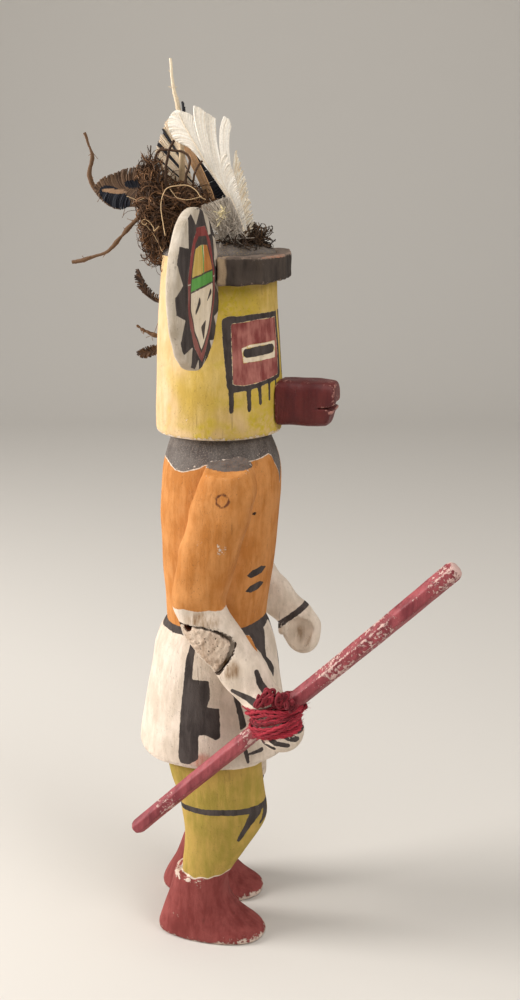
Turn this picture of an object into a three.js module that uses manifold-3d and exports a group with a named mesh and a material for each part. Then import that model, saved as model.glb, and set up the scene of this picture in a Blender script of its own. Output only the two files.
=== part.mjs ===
import * as THREE from "three";
import { mergeVertices } from "three/addons/utils/BufferGeometryUtils.js";
import Module from "manifold-3d";

// Sizes in mm. The doll stands on z = 0 and faces -Y, with its right side at -X.
const GAP = 0.3; // between pieces that touch
const ROUND = 40; // points round the large forms
const MASK_FOOT = 187; // lower rim of the mask
const MASK_RADIUS = 21.7;
const MASK_TOP = 247;
const CROWN_TOP = 252;
const WAIST_Z = 118;
const HEM_Z = 70.5;
const HEM_RADIUS = 27.2;
const LEG_X = 13.75; // each leg from the middle
const BOOT_TOP = 23;
const LEFT_FOOT_BACK = 7; // the left foot stands this much further back
const DISC_RADIUS = 24.3;
const DISC_THICK = 3.2;
const DISC_CENTRE = [-43, -4.9, 239];
const EASE = 0.6; // how far the edges of disc and visor are eased
const VISOR_LOW = 238;
const VISOR_HIGH = 247;
const SNOUT_Z = 197.7;
const SNOUT_HEIGHT = 15.3;
const SNOUT_WIDTH = 14;
const SNOUT_FRONT = -42;
const MOUTH_DEEP = 5.2; // the sawn slot in the end of the snout
const MOUTH_HIGH = 0.9;
const MOUTH_Z = SNOUT_Z - 0.8;
const PEG_RADIUS = 2.3; // the round peg end at the right shoulder
const PEG_Y = -10.7;
const PEG_Z = 170.6;
const PEG_FACE = -32.9; // x of its outer end
const PEG_FOOT = -28.3;
const STAFF_X = -34.5;
const STAFF_LOW = [21.4, 49.1]; // y, z of the lower end
const STAFF_HIGH = [-86.4, 154.1];
const STAFF_LOW_R = 2.75;
const STAFF_HIGH_R = 3.4;

const wasm = await Module();
wasm.setup();
const { Manifold, Mesh } = wasm;
const X = new THREE.Vector3(1, 0, 0);
const Y = new THREE.Vector3(0, 1, 0);
const Z = new THREE.Vector3(0, 0, 1);

// A closed geometry as a solid that can be joined and cut, its faces pointing out.
function solid(geometry) {
  geometry.deleteAttribute("normal");
  geometry.deleteAttribute("uv");
  const merged = mergeVertices(geometry);
  const vertProperties = new Float32Array(merged.attributes.position.array);
  const triVerts = new Uint32Array(merged.index.array);
  const made = new Manifold(new Mesh({ numProp: 3, vertProperties, triVerts }));
  if (made.volume() > 0) return made;
  return new Manifold(new Mesh({ numProp: 3, vertProperties, triVerts: triVerts.reverse() }));
}

function middle(ring) {
  const sum = ring.reduce((total, p) => total.add(new THREE.Vector3(...p)), new THREE.Vector3());
  return sum.divideScalar(ring.length);
}

// A cylinder whose circles are moved onto rings that all have the same number of points.
function loft(rings) {
  const around = rings[0].length;
  const rows = rings.length - 1;
  const geometry = new THREE.CylinderGeometry(1, 1, 1, around, rows);
  const place = geometry.attributes.position;
  for (let i = 0; i < place.count; i++) {
    const row = rings[Math.round((0.5 - place.getY(i)) * rows)];
    const x = place.getX(i);
    const z = place.getZ(i);
    const turn = Math.round((Math.atan2(x, z) / (2 * Math.PI)) * around + around) % around;
    const point = Math.hypot(x, z) < 0.5 ? middle(row) : new THREE.Vector3(...row[turn]);
    place.setXYZ(i, point.x, point.y, point.z);
  }
  return solid(geometry);
}

// A level ring: half-width w, reach back and front along Y, and how square it is (2 is an ellipse).
function ring(z, x, back, front, w, square = 2, n = ROUND) {
  const cy = (back + front) / 2;
  const d = Math.abs(back - front) / 2;
  const out = [];
  for (let i = 0; i < n; i++) {
    const a = (i / n) * Math.PI * 2;
    const c = Math.cos(a);
    const s = Math.sin(a);
    out.push([
      x + w * Math.sign(c) * Math.abs(c) ** (2 / square),
      cy + d * Math.sign(s) * Math.abs(s) ** (2 / square),
      z,
    ]);
  }
  return out;
}

// A tube or bar along points; each section lies across the path, half-sizes [side, up].
function bar(path, sizes, side, n = 8, square = 2) {
  const pts = path.map((p) => new THREE.Vector3(...p));
  const last = pts.length - 1;
  const across = new THREE.Vector3(...side).normalize();
  const rings = pts.map((p, i) => {
    const t = new THREE.Vector3()
      .subVectors(pts[Math.min(i + 1, last)], pts[Math.max(i - 1, 0)])
      .normalize();
    const u = across.clone().addScaledVector(t, -across.dot(t)).normalize();
    const w = new THREE.Vector3().crossVectors(t, u);
    const [a, b] = Array.isArray(sizes[i]) ? sizes[i] : [sizes[i], sizes[i]];
    const out = [];
    for (let k = 0; k < n; k++) {
      const q = ((k + 0.5) / n) * Math.PI * 2;
      const c = Math.cos(q);
      const s = Math.sin(q);
      const x = a * Math.sign(c) * Math.abs(c) ** (2 / square);
      const y = b * Math.sign(s) * Math.abs(s) ** (2 / square);
      out.push([p.x + u.x * x + w.x * y, p.y + u.y * x + w.y * y, p.z + u.z * x + w.z * y]);
    }
    return out;
  });
  return loft(rings);
}

// An outline seen from above, raised between two heights; ease rounds off its long edges.
function slab(outline, low, high, ease = 0) {
  const shape = new THREE.Shape(outline.map(([x, y]) => new THREE.Vector2(x, y)));
  const geometry = new THREE.ExtrudeGeometry(shape, {
    depth: high - low - 2 * ease,
    bevelEnabled: ease > 0,
    bevelThickness: ease,
    bevelSize: ease / 2,
    bevelOffset: -ease / 2,
    bevelSegments: 1,
  });
  return solid(geometry.translate(0, 0, low + ease));
}

// A round twig or quill of even thickness along a smooth curve.
function twig(points, radius) {
  const section = new THREE.Shape().absarc(0, 0, radius, 0, 2 * Math.PI);
  const curve = new THREE.CatmullRomCurve3(points.map((p) => new THREE.Vector3(...p)));
  const steps = (points.length - 1) * 3;
  return solid(new THREE.ExtrudeGeometry(section, { steps, curveSegments: 4, extrudePath: curve }));
}

// A round rod lying along X.
function rod(radius, from, to, y, z) {
  const geometry = new THREE.CylinderGeometry(radius, radius, to - from, 16);
  return solid(geometry.rotateZ(Math.PI / 2).translate((from + to) / 2, y, z));
}

const join = (list) => list.reduce((whole, piece) => whole.add(piece));
const cut = (piece, ...tools) => tools.reduce((left, tool) => left.subtract(tool), piece);
const largest = (piece) => piece.decompose().sort((a, b) => b.volume() - a.volume())[0];

// ---- the carved body; grow makes the same form a little larger, to cut its neighbours back
function mask(grow = 0) {
  const level = (z, cy, rad) => ring(z, 0, cy + rad + grow, cy - rad - grow, rad + grow);
  return loft([
    level(MASK_FOOT - grow, -1, MASK_RADIUS - 1.2),
    level(MASK_FOOT + 1.3 - grow, -1, MASK_RADIUS - 0.1),
    level(195, -1.1, MASK_RADIUS),
    level(204, -1.3, 21.6),
    level(214, -1.15, 20.9),
    level(224, -1.1, 20.2),
    level(234, -1.2, 19.7),
    level(MASK_TOP - 1, -1.7, 18.9),
    level(MASK_TOP + 1, -1.7, 18.0),
    level(CROWN_TOP - 1.8 + grow, -1.6, 14),
    level(CROWN_TOP + grow, -1.4, 7),
  ]);
}

function torso(grow = 0) {
  const level = (z, cy, d, w, sq) => ring(z, 0, cy + d + grow, cy - d - grow, w + grow, sq);
  return loft([
    level(WAIST_Z - 3, 0.6, 16.6, 19.6, 2.1),
    level(WAIST_Z + 1, 0.4, 17, 20, 2.1),
    level(124, 0.2, 17.6, 20.6, 2.2),
    level(135.5, -0.3, 18.8, 21.6, 2.2),
    level(147, -0.8, 19.7, 22.4, 2.2),
    level(158, -1.1, 20.4, 23, 2.2),
    level(165, -1.6, 20.6, 23.2, 2.2),
    level(172, -1.9, 20.3, 22.8, 2.1),
    level(176, -2, 19.8, 22, 2.1),
    level(179, -2.1, 19, 21, 2),
    level(183, -1.9, 17.8, 19.4, 2),
    level(186, -1.6, 16.4, 17.4, 2),
    level(190, -1.4, 16, 17, 2),
  ]);
}

function kilt(grow = 0) {
  const level = (z, cy, d, w) => ring(z, 0, cy + d + grow, cy - d - grow, w + grow, 2.05);
  return loft([
    level(HEM_Z - grow, 1.7, HEM_RADIUS - 0.8, HEM_RADIUS - 0.8),
    level(HEM_Z + 1.2, 1.7, HEM_RADIUS, HEM_RADIUS),
    level(77, 1.8, 26.4, 26.6),
    level(89, 1.5, 24.6, 25.4),
    level(101, 1.1, 22.8, 24),
    level(109, 1.1, 21.4, 22.8),
    level(116.5, 0.8, 18.9, 20.9),
    level(WAIST_Z + 1, 0.6, 16.4, 19),
  ]);
}

// height, back and front of the right leg, and half its width
const LEG = [
  [80, 15.2, -18.4, 10.2],
  [68, 15.2, -18.8, 10.4],
  [59, 12.6, -19.7, 10.5],
  [52, 10.6, -21.1, 10.4],
  [47, 9.9, -20.5, 10.1],
  [40.5, 9, -17.3, 9.6],
  [34, 9.35, -12.9, 9.2],
  [28, 10.2, -9, 9],
  [BOOT_TOP - 2, 10.1, -5.4, 9],
];
// the same for its boot, and how square it is
const BOOT = [
  [BOOT_TOP, 13.3, -6, 9.8, 2.2],
  [18, 14.6, -5.8, 9.9, 2.2],
  [14, 15.7, -6.4, 10.1, 2.2],
  [9, 17.6, -9.6, 10.6, 2.3],
  [5, 19, -14.4, 11.2, 2.4],
  [2.4, 19.8, -20, 11.5, 2.5],
  [0.7, 19.6, -20.6, 11.5, 2.5],
  [0, 18.8, -19.4, 10.9, 2.5],
];
function leg(side) {
  const x = side * LEG_X;
  const set = side > 0 ? LEFT_FOOT_BACK : 0;
  const heel = (z) => (side > 0 ? set - 3 * Math.min(1, z / BOOT_TOP) : 0);
  const upper = loft(LEG.map(([z, b, f, w]) => ring(z, x, b + heel(z), f + set, w, 2.3, 28)));
  const boot = loft(BOOT.map(([z, b, f, w, sq]) => ring(z, x, b + heel(z), f + set, w, sq, 32)));
  return upper.add(boot);
}

const sashTab = bar(
  [
    [0, -14.6, 80],
    [0, -15.2, 66],
    [0, -15.6, 60],
    [0, -15.6, 57],
  ],
  [
    [2.6, 2.2],
    [2.6, 2.2],
    [2.4, 2],
    [1.4, 1.2],
  ],
  [1, 0, 0],
  8,
  3,
);
const carvedBody = join([mask(), torso(), kilt(), leg(-1), leg(1), sashTab]);
const bodyGrown = join([mask(GAP), torso(GAP), kilt(GAP)]);

// ---- arms: level rings for the upper arm, a bar for the forearm
const ARM_INSIDE = 17; // the upper arm starts this far from the middle, inside the torso
function upperArm(side, low) {
  const setBack = (z) => (side > 0 ? 1.6 + Math.max(0, z - 130) * 0.09 : 0);
  const level = (z, cy, d, out) => {
    const y = cy + setBack(z);
    return ring(z, (side * (out + ARM_INSIDE)) / 2, y + d, y - d, (out - ARM_INSIDE) / 2, 3, 24);
  };
  return loft([
    level(low, -0.4, 8.6, 35),
    level(136, -0.9, 9.1, 35),
    level(150, -3.9, 9.5, 34.6),
    level(165, -8, 9.5, 33.4),
    level(174, -10.2, 9.3, 31.6),
    level(178.5, -10.3, 8.4, 28.6),
    level(181.3, -10.4, 7, 24),
  ]);
}

// ---- the staff: a six-sided stick; t runs from 0 at its lower end to 1 at its upper end
const { lerp } = THREE.MathUtils;
const staffAt = (t) => [STAFF_X, ...STAFF_LOW.map((low, i) => lerp(low, STAFF_HIGH[i], t))];
const staffRadius = (t) => lerp(STAFF_LOW_R, STAFF_HIGH_R, t);
const staffBar = (stops, sizes) => bar(stops.map(staffAt), sizes, [1, 0, 0], 6);
const STAFF_STOPS = [0, 0.006, 0.35, 0.7, 0.994, 1];
const STAFF_FULL = [0.62, 1, 1, 1, 1, 0.62]; // its ends are cut back at the edges
const staff = staffBar(STAFF_STOPS, STAFF_STOPS.map((t, i) => staffRadius(t) * STAFF_FULL[i]));
const HELD = [0.2, 0.85]; // the stretch that passes hand and kilt
const staffGrown = staffBar(HELD, HELD.map((t) => staffRadius(t) + GAP));

// ---- the right arm; grow makes forearm and hand a little larger, to cut the yarn back
function rightForm(grow) {
  const fuller = (sizes) => sizes.map(([a, b]) => [a + grow, b + grow]);
  return join([
    upperArm(-1, 128),
    bar(
      [
        [-29.5, 3.4, 137],
        [-29.6, -0.3, 130.6],
        [-30, -8, 121],
        [-30.6, -17.4, 109.8],
        [-31.6, -24, 102.6],
      ],
      fuller([
        [5.2, 6.4],
        [5.6, 8],
        [5.4, 8],
        [5.1, 7.6],
        [4.8, 6.6],
      ]),
      [1, 0, 0],
      20,
      2.6,
    ),
    bar(
      [
        [-31.8, -21.5, 105],
        [-32.8, -25.6, 100.2],
        [-34.3, -29.4, 95.4],
        [-34.5, -31.6, 92.4],
        [-34.2, -33.4, 90],
      ],
      fuller([
        [4.8, 6.2],
        [5.8, 7.2],
        [6.4, 8.2],
        [6, 7.6],
        [4, 5],
      ]),
      [1, 0, 0],
      20,
      2.6,
    ),
  ]);
}
// the repair's outline on the side of the elbow, seen as (y, z)
const FILLER = [
  [4.5, 127.4],
  [-4.4, 127.3],
  [-10.1, 126],
  [-13.2, 124.4],
  [-15, 122.2],
  [-14.2, 118.6],
  [-12.6, 115.4],
  [-9.4, 111.2],
  [-5, 108.6],
  [6.5, 122.6],
];
const FILLER_MIDDLE = new THREE.Vector2(-5.2, 119);
// a plug of that outline along X, drawn in a little all round
function fillerPlug(inset, outer, inner) {
  const points = FILLER.map(([y, z]) => {
    const p = new THREE.Vector2(y, z);
    const reach = p.distanceTo(FILLER_MIDDLE);
    return p.lerp(FILLER_MIDDLE, inset / reach);
  });
  const geometry = new THREE.ExtrudeGeometry(new THREE.Shape(points), {
    depth: inner - outer,
    bevelEnabled: false,
  });
  geometry.applyMatrix4(new THREE.Matrix4().makeBasis(Y, Z, X));
  return solid(geometry.translate(outer, 0, 0));
}
const FILLER_FLOOR = -32.4; // x of the bottom of the hollow that it fills
const FILLER_OUT = -40; // x beyond the arm's surface
const fillerHollow = fillerPlug(0, FILLER_OUT, FILLER_FLOOR);
const fillerBody = fillerPlug(0.35, FILLER_OUT + 1, FILLER_FLOOR - 0.4);
const elbowFiller = largest(fillerBody.intersect(rightForm(0.2)));
const shoulderPeg = rod(PEG_RADIUS, PEG_FACE, PEG_FOOT, PEG_Y, PEG_Z);
const pegHole = rod(PEG_RADIUS + GAP, PEG_FACE - 3, PEG_FOOT + GAP, PEG_Y, PEG_Z);
const rightArm = largest(cut(rightForm(0), bodyGrown, staffGrown, fillerHollow, pegHole));

// ---- the left arm, its open palm hollowed
const leftForearm = bar(
  [
    [29.6, 3.6, 137],
    [29.7, -0.6, 131],
    [30, -6.6, 124.4],
    [30.5, -13.4, 117.2],
    [31, -19.8, 111],
  ],
  [
    [5.2, 6.4],
    [5.6, 7.8],
    [5.4, 7.8],
    [5, 7],
    [4.7, 6],
  ],
  [1, 0, 0],
  20,
  2.6,
);
const leftHand = bar(
  [
    [31, -19.4, 111.4],
    [31, -22, 108.4],
    [30.8, -24.2, 104.8],
    [30.4, -25.6, 100.2],
    [30, -26, 97],
    [29.8, -26, 95.2],
  ],
  [
    [4.6, 5.8],
    [5, 7],
    [5.2, 7.8],
    [5.2, 7.2],
    [4.4, 5.4],
    [3, 3],
  ],
  [1, 0, 0],
  20,
  2.6,
);
const palmHollow = bar(
  [
    [22, -25.6, 102.6],
    [28.4, -25.6, 102.6],
  ],
  [
    [6, 4.6],
    [5, 3.8],
  ],
  [0, 0.3, 0.95],
  14,
);
const leftWhole = join([upperArm(1, 126), leftForearm, cut(leftHand, palmHollow)]);
const leftArm = largest(cut(leftWhole, bodyGrown));

// ---- head pieces
function snoutBlock() {
  const w = SNOUT_WIDTH / 2;
  const h = SNOUT_HEIGHT / 2;
  const stops = [
    [-19, 0],
    [SNOUT_FRONT + 3, 0],
    [SNOUT_FRONT + 0.8, 0.7],
    [SNOUT_FRONT, 2],
  ];
  return bar(
    stops.map(([y]) => [0, y, SNOUT_Z]),
    stops.map(([, less]) => [w - less, h - less]),
    [1, 0, 0],
    24,
    4.5,
  );
}
const mouthBox = new THREE.BoxGeometry(SNOUT_WIDTH + 4, 2 * MOUTH_DEEP, MOUTH_HIGH);
const mouth = solid(mouthBox.translate(0, SNOUT_FRONT, MOUTH_Z));
const snout = largest(cut(snoutBlock(), mouth, bodyGrown));

// the visor's outline from above
const VISOR = [
  [-17, -6.6],
  [-23.5, -7],
  [-19.6, -21.2],
  [-6, -24.9],
  [6, -24.9],
  [19.6, -21.2],
  [23.5, -7],
  [17, -6.6],
];
const skull = mask(GAP);
const visor = largest(cut(slab(VISOR, VISOR_LOW, VISOR_HIGH, EASE), skull));

// a round board on edge, its axis along Y
function discBoard() {
  const t = DISC_THICK / 2;
  const r = DISC_RADIUS;
  const profile = [
    [0, -t],
    [r - EASE, -t],
    [r, EASE - t],
    [r, t - EASE],
    [r - EASE, t],
    [0, t],
  ].map(([x, y]) => new THREE.Vector2(x, y));
  return solid(new THREE.LatheGeometry(profile, 48).translate(...DISC_CENTRE));
}
const visorRoom = slab(
  [
    [-26, -6.2],
    [-24.5, -30],
    [24.5, -30],
    [26, -6.2],
  ],
  VISOR_LOW - 0.5,
  VISOR_HIGH + 0.5,
);
const disc = largest(cut(discBoard(), skull, visorRoom));

// ---- the yarn: a thick band round hand, wrist and stick
const yarnBand = bar(
  [
    [-32.4, -23.4, 104.9],
    [-33.4, -28, 99.6],
    [-34.2, -32.4, 94.5],
  ],
  [
    [6.9, 7.9],
    [7.9, 9.15],
    [7.9, 9.4],
  ],
  [1, 0, 0],
  24,
  2.4,
);
const yarn = largest(cut(yarnBand, rightForm(GAP), staffGrown, bodyGrown));

// ---- what stands on the crown
const TUFT_POINTS = 22; // points round the two bundles of fibre
function hairForm(grow) {
  const level = (z, cy, d, w) => ring(z, 0, cy + d + grow, cy - d - grow, w + grow, 2, TUFT_POINTS);
  return loft([
    level(245 - grow, 18.6, 2.4, 4.6),
    level(248, 17.4, 4.6, 8),
    level(253, 13.4, 8.6, 11.4),
    level(260, 12.6, 10.2, 12.2),
    level(267, 14.4, 10, 11),
    level(273, 15.6, 8, 8.6),
    level(278 + grow, 17.2, 4, 4.6),
  ]);
}
function crownForm(grow) {
  const level = (z, cy, d, w) => ring(z, 0, cy + d + grow, cy - d - grow, w + grow, 2, TUFT_POINTS);
  return loft([
    level(246, -9.5, 9, 13),
    level(250.5, -9.5, 8.2, 12),
    level(253.4, -10, 6.6, 9),
    level(255 + grow, -10.6, 3.4, 5),
  ]);
}
const visorTop = slab(
  [
    [-30, -16.6],
    [-30, -40],
    [30, -40],
    [30, -16.6],
  ],
  VISOR_LOW - 2,
  VISOR_HIGH + GAP,
);
const hair = largest(cut(hairForm(0), skull, crownForm(GAP)));
const crownFibres = largest(cut(crownForm(0), skull, visorTop));
const nest = join([hairForm(GAP), crownForm(GAP), skull]);

const PLUME_ROOT = [
  [-3, -13.4, 251.6],
  [-3, -9.8, 259],
  [-3, -5.8, 266],
];
const PLUME_FACE = [0.25, -0.9, 0.3];
// one blade of the split plume, from the shared root; wide is half its width at each point
const plumeBlade = (path, wide) =>
  bar(
    [...PLUME_ROOT, ...path],
    [1.5, 2.4, 3.4, ...wide].map((w) => [w, Math.min(1.1, 0.55 + w * 0.12)]),
    PLUME_FACE,
  );
const whitePlume = largest(cut(
  join([
    plumeBlade(
      [
        [-3, 0.2, 275],
        [-2.6, 5.6, 283],
        [-2, 9.4, 288],
        [-1.8, 12, 291],
      ],
      [4.6, 5.6, 5, 2.4],
    ),
    plumeBlade(
      [
        [-3, -3, 274],
        [-2.6, -0.4, 283],
        [-2, 1.8, 291],
      ],
      [3.4, 2.8, 1.8],
    ),
    plumeBlade(
      [
        [-3, -4.4, 273.6],
        [-3, -5, 281],
        [-3, -6, 288.6],
      ],
      [2.6, 1.8, 1.2],
    ),
  ]),
  nest,
));
// room for the plume in the feathers beside it
const plumeSlot = bar(
  [[-3, -14.4, 249.6], ...PLUME_ROOT.slice(1), [-3, 1, 277]],
  [2.1, 3, 4, 6].map((w) => [w, 1.7]),
  PLUME_FACE,
);
const raggedPlume = largest(cut(
  bar(
    [
      [1.5, -14.8, 252],
      [1, -12.9, 258],
      [0.6, -11.2, 265],
      [0.2, -9.4, 272],
      [0, -8, 278.8],
    ],
    [
      [1.2, 1],
      [2.4, 1],
      [3, 0.9],
      [2.2, 0.8],
      [0.8, 0.6],
    ],
    [0.3, -0.9, 0.2],
  ),
  nest,
  plumeSlot,
));
const QUILL = [
  [5.6, 12.6, 268],
  [5, 12.4, 280],
  [3.6, 12.6, 291],
  [2.4, 14.2, 300],
  [2, 14.7, 308.1],
];
const QUILL_RADIUS = 0.8;
const bareQuill = largest(cut(twig(QUILL, QUILL_RADIUS), nest));
const quillRoom = twig([[5.8, 12.7, 264], ...QUILL], QUILL_RADIUS + 0.6);
const barredFeather = largest(cut(
  bar(
    [
      [8.6, 4.6, 260],
      [8.6, 7.6, 267],
      [8.6, 11, 274],
      [8.4, 14.4, 281],
      [8.2, 16.6, 285.6],
    ],
    [
      [3, 1],
      [5.6, 0.9],
      [6.6, 0.9],
      [5, 0.8],
      [2, 0.6],
    ],
    [0.1, -0.95, -0.2],
  ),
  nest,
  quillRoom,
));
const greyFeather = largest(cut(
  bar(
    [
      [-9.6, -7.6, 250],
      [-9.4, -5.6, 254],
      [-8.8, -2.4, 259],
      [-8, 0.4, 263],
      [-7.4, 2, 265.6],
    ],
    [
      [2, 0.9],
      [4.4, 0.9],
      [5.6, 0.9],
      [4.4, 0.8],
      [2, 0.6],
    ],
    [0.3, -0.95, 0],
  ),
  nest,
  plumeSlot,
));
const eyeFeather = largest(cut(
  bar(
    [
      [-3, 19, 264.6],
      [-2.6, 25, 266.2],
      [-2.2, 30.6, 267],
      [-2, 36.6, 267.2],
      [-2, 42, 267],
    ],
    [
      [3.2, 0.9],
      [5.4, 0.9],
      [6.4, 0.9],
      [5.2, 0.8],
      [1.6, 0.6],
    ],
    [0, 0.1, 1],
  ),
  nest,
));
const tallRoot = largest(cut(
  twig(
    [
      [2.4, 23, 263.6],
      [3, 31, 261.4],
      [2.6, 40, 265],
      [1.2, 43, 271],
      [0.4, 41.2, 277],
      [-0.4, 41.6, 281],
      [-0.8, 42.4, 285],
    ],
    0.9,
  ),
  nest,
));
const lowRoot = largest(cut(
  twig(
    [
      [-2, 20, 261.6],
      [-2, 25, 258],
      [-2, 31.6, 251.6],
      [-2, 36, 247],
      [-2, 40.6, 244.8],
      [-2, 45, 243.4],
      [-2, 49.2, 242.4],
    ],
    0.9,
  ),
  nest,
));
const napeFeather = largest(cut(
  bar(
    [
      [4, 18, 229],
      [4.4, 22.6, 229.6],
      [5, 25.6, 232],
      [5, 27.2, 235.6],
      [5, 27.6, 238.4],
    ],
    [
      [2.4, 0.9],
      [2.6, 0.9],
      [2.4, 0.8],
      [1.8, 0.7],
      [0.7, 0.5],
    ],
    [0.4, 0.7, -0.6],
  ),
  skull,
));
const napeTwig = largest(cut(
  twig(
    [
      [5, 17, 218],
      [5, 22, 217.6],
      [5, 26, 219],
      [5, 29, 220.6],
    ],
    0.75,
  ),
  skull,
));
const lowNapeFeather = largest(cut(
  bar(
    [
      [5, 17, 213.6],
      [5, 22, 212.6],
      [5, 25.6, 211.6],
      [5, 28.4, 211.4],
    ],
    [
      [2, 0.9],
      [2.4, 0.9],
      [2, 0.8],
      [0.9, 0.5],
    ],
    [0, 0.2, 1],
  ),
  skull,
));

const PIECES = [
  ["carved_body", carvedBody, "#c79a58"],
  ["right_arm", rightArm, "#e0cdb4"],
  ["left_arm", leftArm, "#e0cdb4"],
  ["shoulder_peg", shoulderPeg, "#b0763c"],
  ["elbow_filler", elbowFiller, "#c0ad94"],
  ["snout", snout, "#5e2020"],
  ["visor", visor, "#443a34"],
  ["right_ear_disc", disc, "#b3a084"],
  ["staff", staff, "#a8636b"],
  ["yarn_lashing", yarn, "#a03a42"],
  ["hair_bundle", hair, "#5f4a37"],
  ["crown_fibres", crownFibres, "#3a2c22"],
  ["white_plume", whitePlume, "#eee4d2"],
  ["ragged_plume", raggedPlume, "#eee4d2"],
  ["bare_quill", bareQuill, "#d8c09a"],
  ["barred_feather", barredFeather, "#c8b49a"],
  ["grey_feather", greyFeather, "#9c9288"],
  ["eye_feather", eyeFeather, "#3c2c24"],
  ["tall_root", tallRoot, "#6b503a"],
  ["low_root", lowRoot, "#6b503a"],
  ["nape_feather", napeFeather, "#4a3527"],
  ["nape_twig", napeTwig, "#4a3527"],
  ["low_nape_feather", lowNapeFeather, "#3a2c22"],
];

function meshOf(name, piece, color) {
  const { vertProperties, triVerts } = piece.getMesh();
  const geometry = new THREE.BufferGeometry();
  geometry.setAttribute("position", new THREE.BufferAttribute(new Float32Array(vertProperties), 3));
  geometry.setIndex(new THREE.BufferAttribute(new Uint32Array(triVerts), 1));
  geometry.computeVertexNormals();
  const material = new THREE.MeshStandardMaterial({ color, roughness: 0.85, metalness: 0 });
  const mesh = new THREE.Mesh(geometry, material);
  mesh.name = name;
  return mesh;
}

const pieces = new THREE.Group();
for (const [name, piece, colour] of PIECES) pieces.add(meshOf(name, piece, colour));

// The whole stands over the origin: the middle of its box in x and y, soles at zero.
const box = new THREE.Box3().setFromObject(pieces);
const centre = box.getCenter(new THREE.Vector3());
pieces.position.set(-centre.x, -centre.y, -box.min.z);
const doll = new THREE.Group();
doll.name = "kachina_doll";
doll.add(pieces);

export default doll;
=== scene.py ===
import math
from functools import reduce

import bpy
import numpy as np
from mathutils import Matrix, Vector


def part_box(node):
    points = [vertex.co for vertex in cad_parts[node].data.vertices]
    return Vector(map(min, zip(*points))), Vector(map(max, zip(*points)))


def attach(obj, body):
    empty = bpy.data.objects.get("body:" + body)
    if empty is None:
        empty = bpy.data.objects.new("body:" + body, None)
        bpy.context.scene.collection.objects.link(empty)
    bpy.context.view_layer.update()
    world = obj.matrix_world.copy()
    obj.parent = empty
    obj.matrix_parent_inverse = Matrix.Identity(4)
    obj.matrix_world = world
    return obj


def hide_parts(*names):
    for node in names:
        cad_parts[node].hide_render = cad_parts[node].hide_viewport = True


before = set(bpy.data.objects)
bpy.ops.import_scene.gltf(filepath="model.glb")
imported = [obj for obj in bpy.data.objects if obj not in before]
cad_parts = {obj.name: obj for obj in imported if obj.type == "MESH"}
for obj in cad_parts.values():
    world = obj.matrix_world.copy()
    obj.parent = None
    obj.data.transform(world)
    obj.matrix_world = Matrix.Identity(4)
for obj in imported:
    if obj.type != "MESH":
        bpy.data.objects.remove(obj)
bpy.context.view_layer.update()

# Sizes are in mm in the doll's own frame: the middle of the carving at x = y = 0, soles at z = 0,
# face towards -Y and the doll's right hand at -X.
MM = 0.001
ACROSS = np.array([1.0, 0, 0])  # the way to the doll's left hand
DISC_LOW_CORNER = (-67.3, -6.5)
disc_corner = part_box("right_ear_disc")[0]
DOLL = np.array([
    disc_corner.x / MM - DISC_LOW_CORNER[0],
    disc_corner.y / MM - DISC_LOW_CORNER[1],
    0.0,
])


# ---- carving tools


def both(a, b, round_over=0.0):
    """Where both forms are, with the edge rounded over."""
    if not round_over:
        return np.maximum(a, b)
    h = np.clip(0.5 - 0.5 * (b - a) / round_over, 0, 1)
    return b * (1 - h) + a * h + round_over * h * (1 - h)


def either(a, b, fillet=0.0):
    """Where either form is, with a fillet between them."""
    return -both(-a, -b, fillet)


def profile(rows, column, soften=2.0):
    """A smooth function of height through one column of rows, whose first column is the height."""
    rows = sorted(rows)
    step = 0.25
    fine = np.arange(rows[0][0] - 12, rows[-1][0] + 12, step)
    values = np.interp(fine, [r[0] for r in rows], [r[column] for r in rows])
    reach = int(3 * soften / step)
    bell = np.exp(-0.5 * (np.arange(-reach, reach + 1) * step / soften) ** 2)
    values = np.convolve(np.pad(values, reach, mode="edge"), bell / bell.sum(), "valid")
    return lambda z: np.interp(z, fine, values)


def uneven(x, y, z, across, seed):
    """Gentle unevenness of about -1 to 1, with hills of the given width."""
    rng = np.random.default_rng(seed)
    total = 0.0
    for _ in range(7):
        way = rng.normal(size=3)
        way *= 2 * np.pi * rng.uniform(0.6, 1.5) / across / np.linalg.norm(way)
        total = total + np.sin(x * way[0] + y * way[1] + z * way[2] + rng.uniform(0, 6.3))
    return total / 3.2


def oval(x, y, half_x, half_y, square=2.0):
    """A level section: how far outside an oval, or a squarer form of it, a point lies."""
    q = (np.abs(x / half_x) ** square + np.abs(y / half_y) ** square) ** (1 / square)
    return (q - 1) * np.minimum(half_x, half_y)


def limb(x, y, z, stops, square):
    """A limb through stops (x, y, z, half thickness in x, half width) that bends in an upright plane."""
    out = None
    for a, b in zip(stops, stops[1:]):
        a, b = np.array(a, float), np.array(b, float)
        run = b[1:3] - a[1:3]
        t = np.clip(((y - a[1]) * run[0] + (z - a[2]) * run[1]) / (run @ run), 0, 1)
        here = [a[k] + t * (b[k] - a[k]) for k in range(5)]
        across = np.hypot(y - here[1], z - here[2])
        part = oval(x - here[0], across, here[3], here[4], square)
        out = part if out is None else either(out, part, 1.5)
    return out


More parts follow.
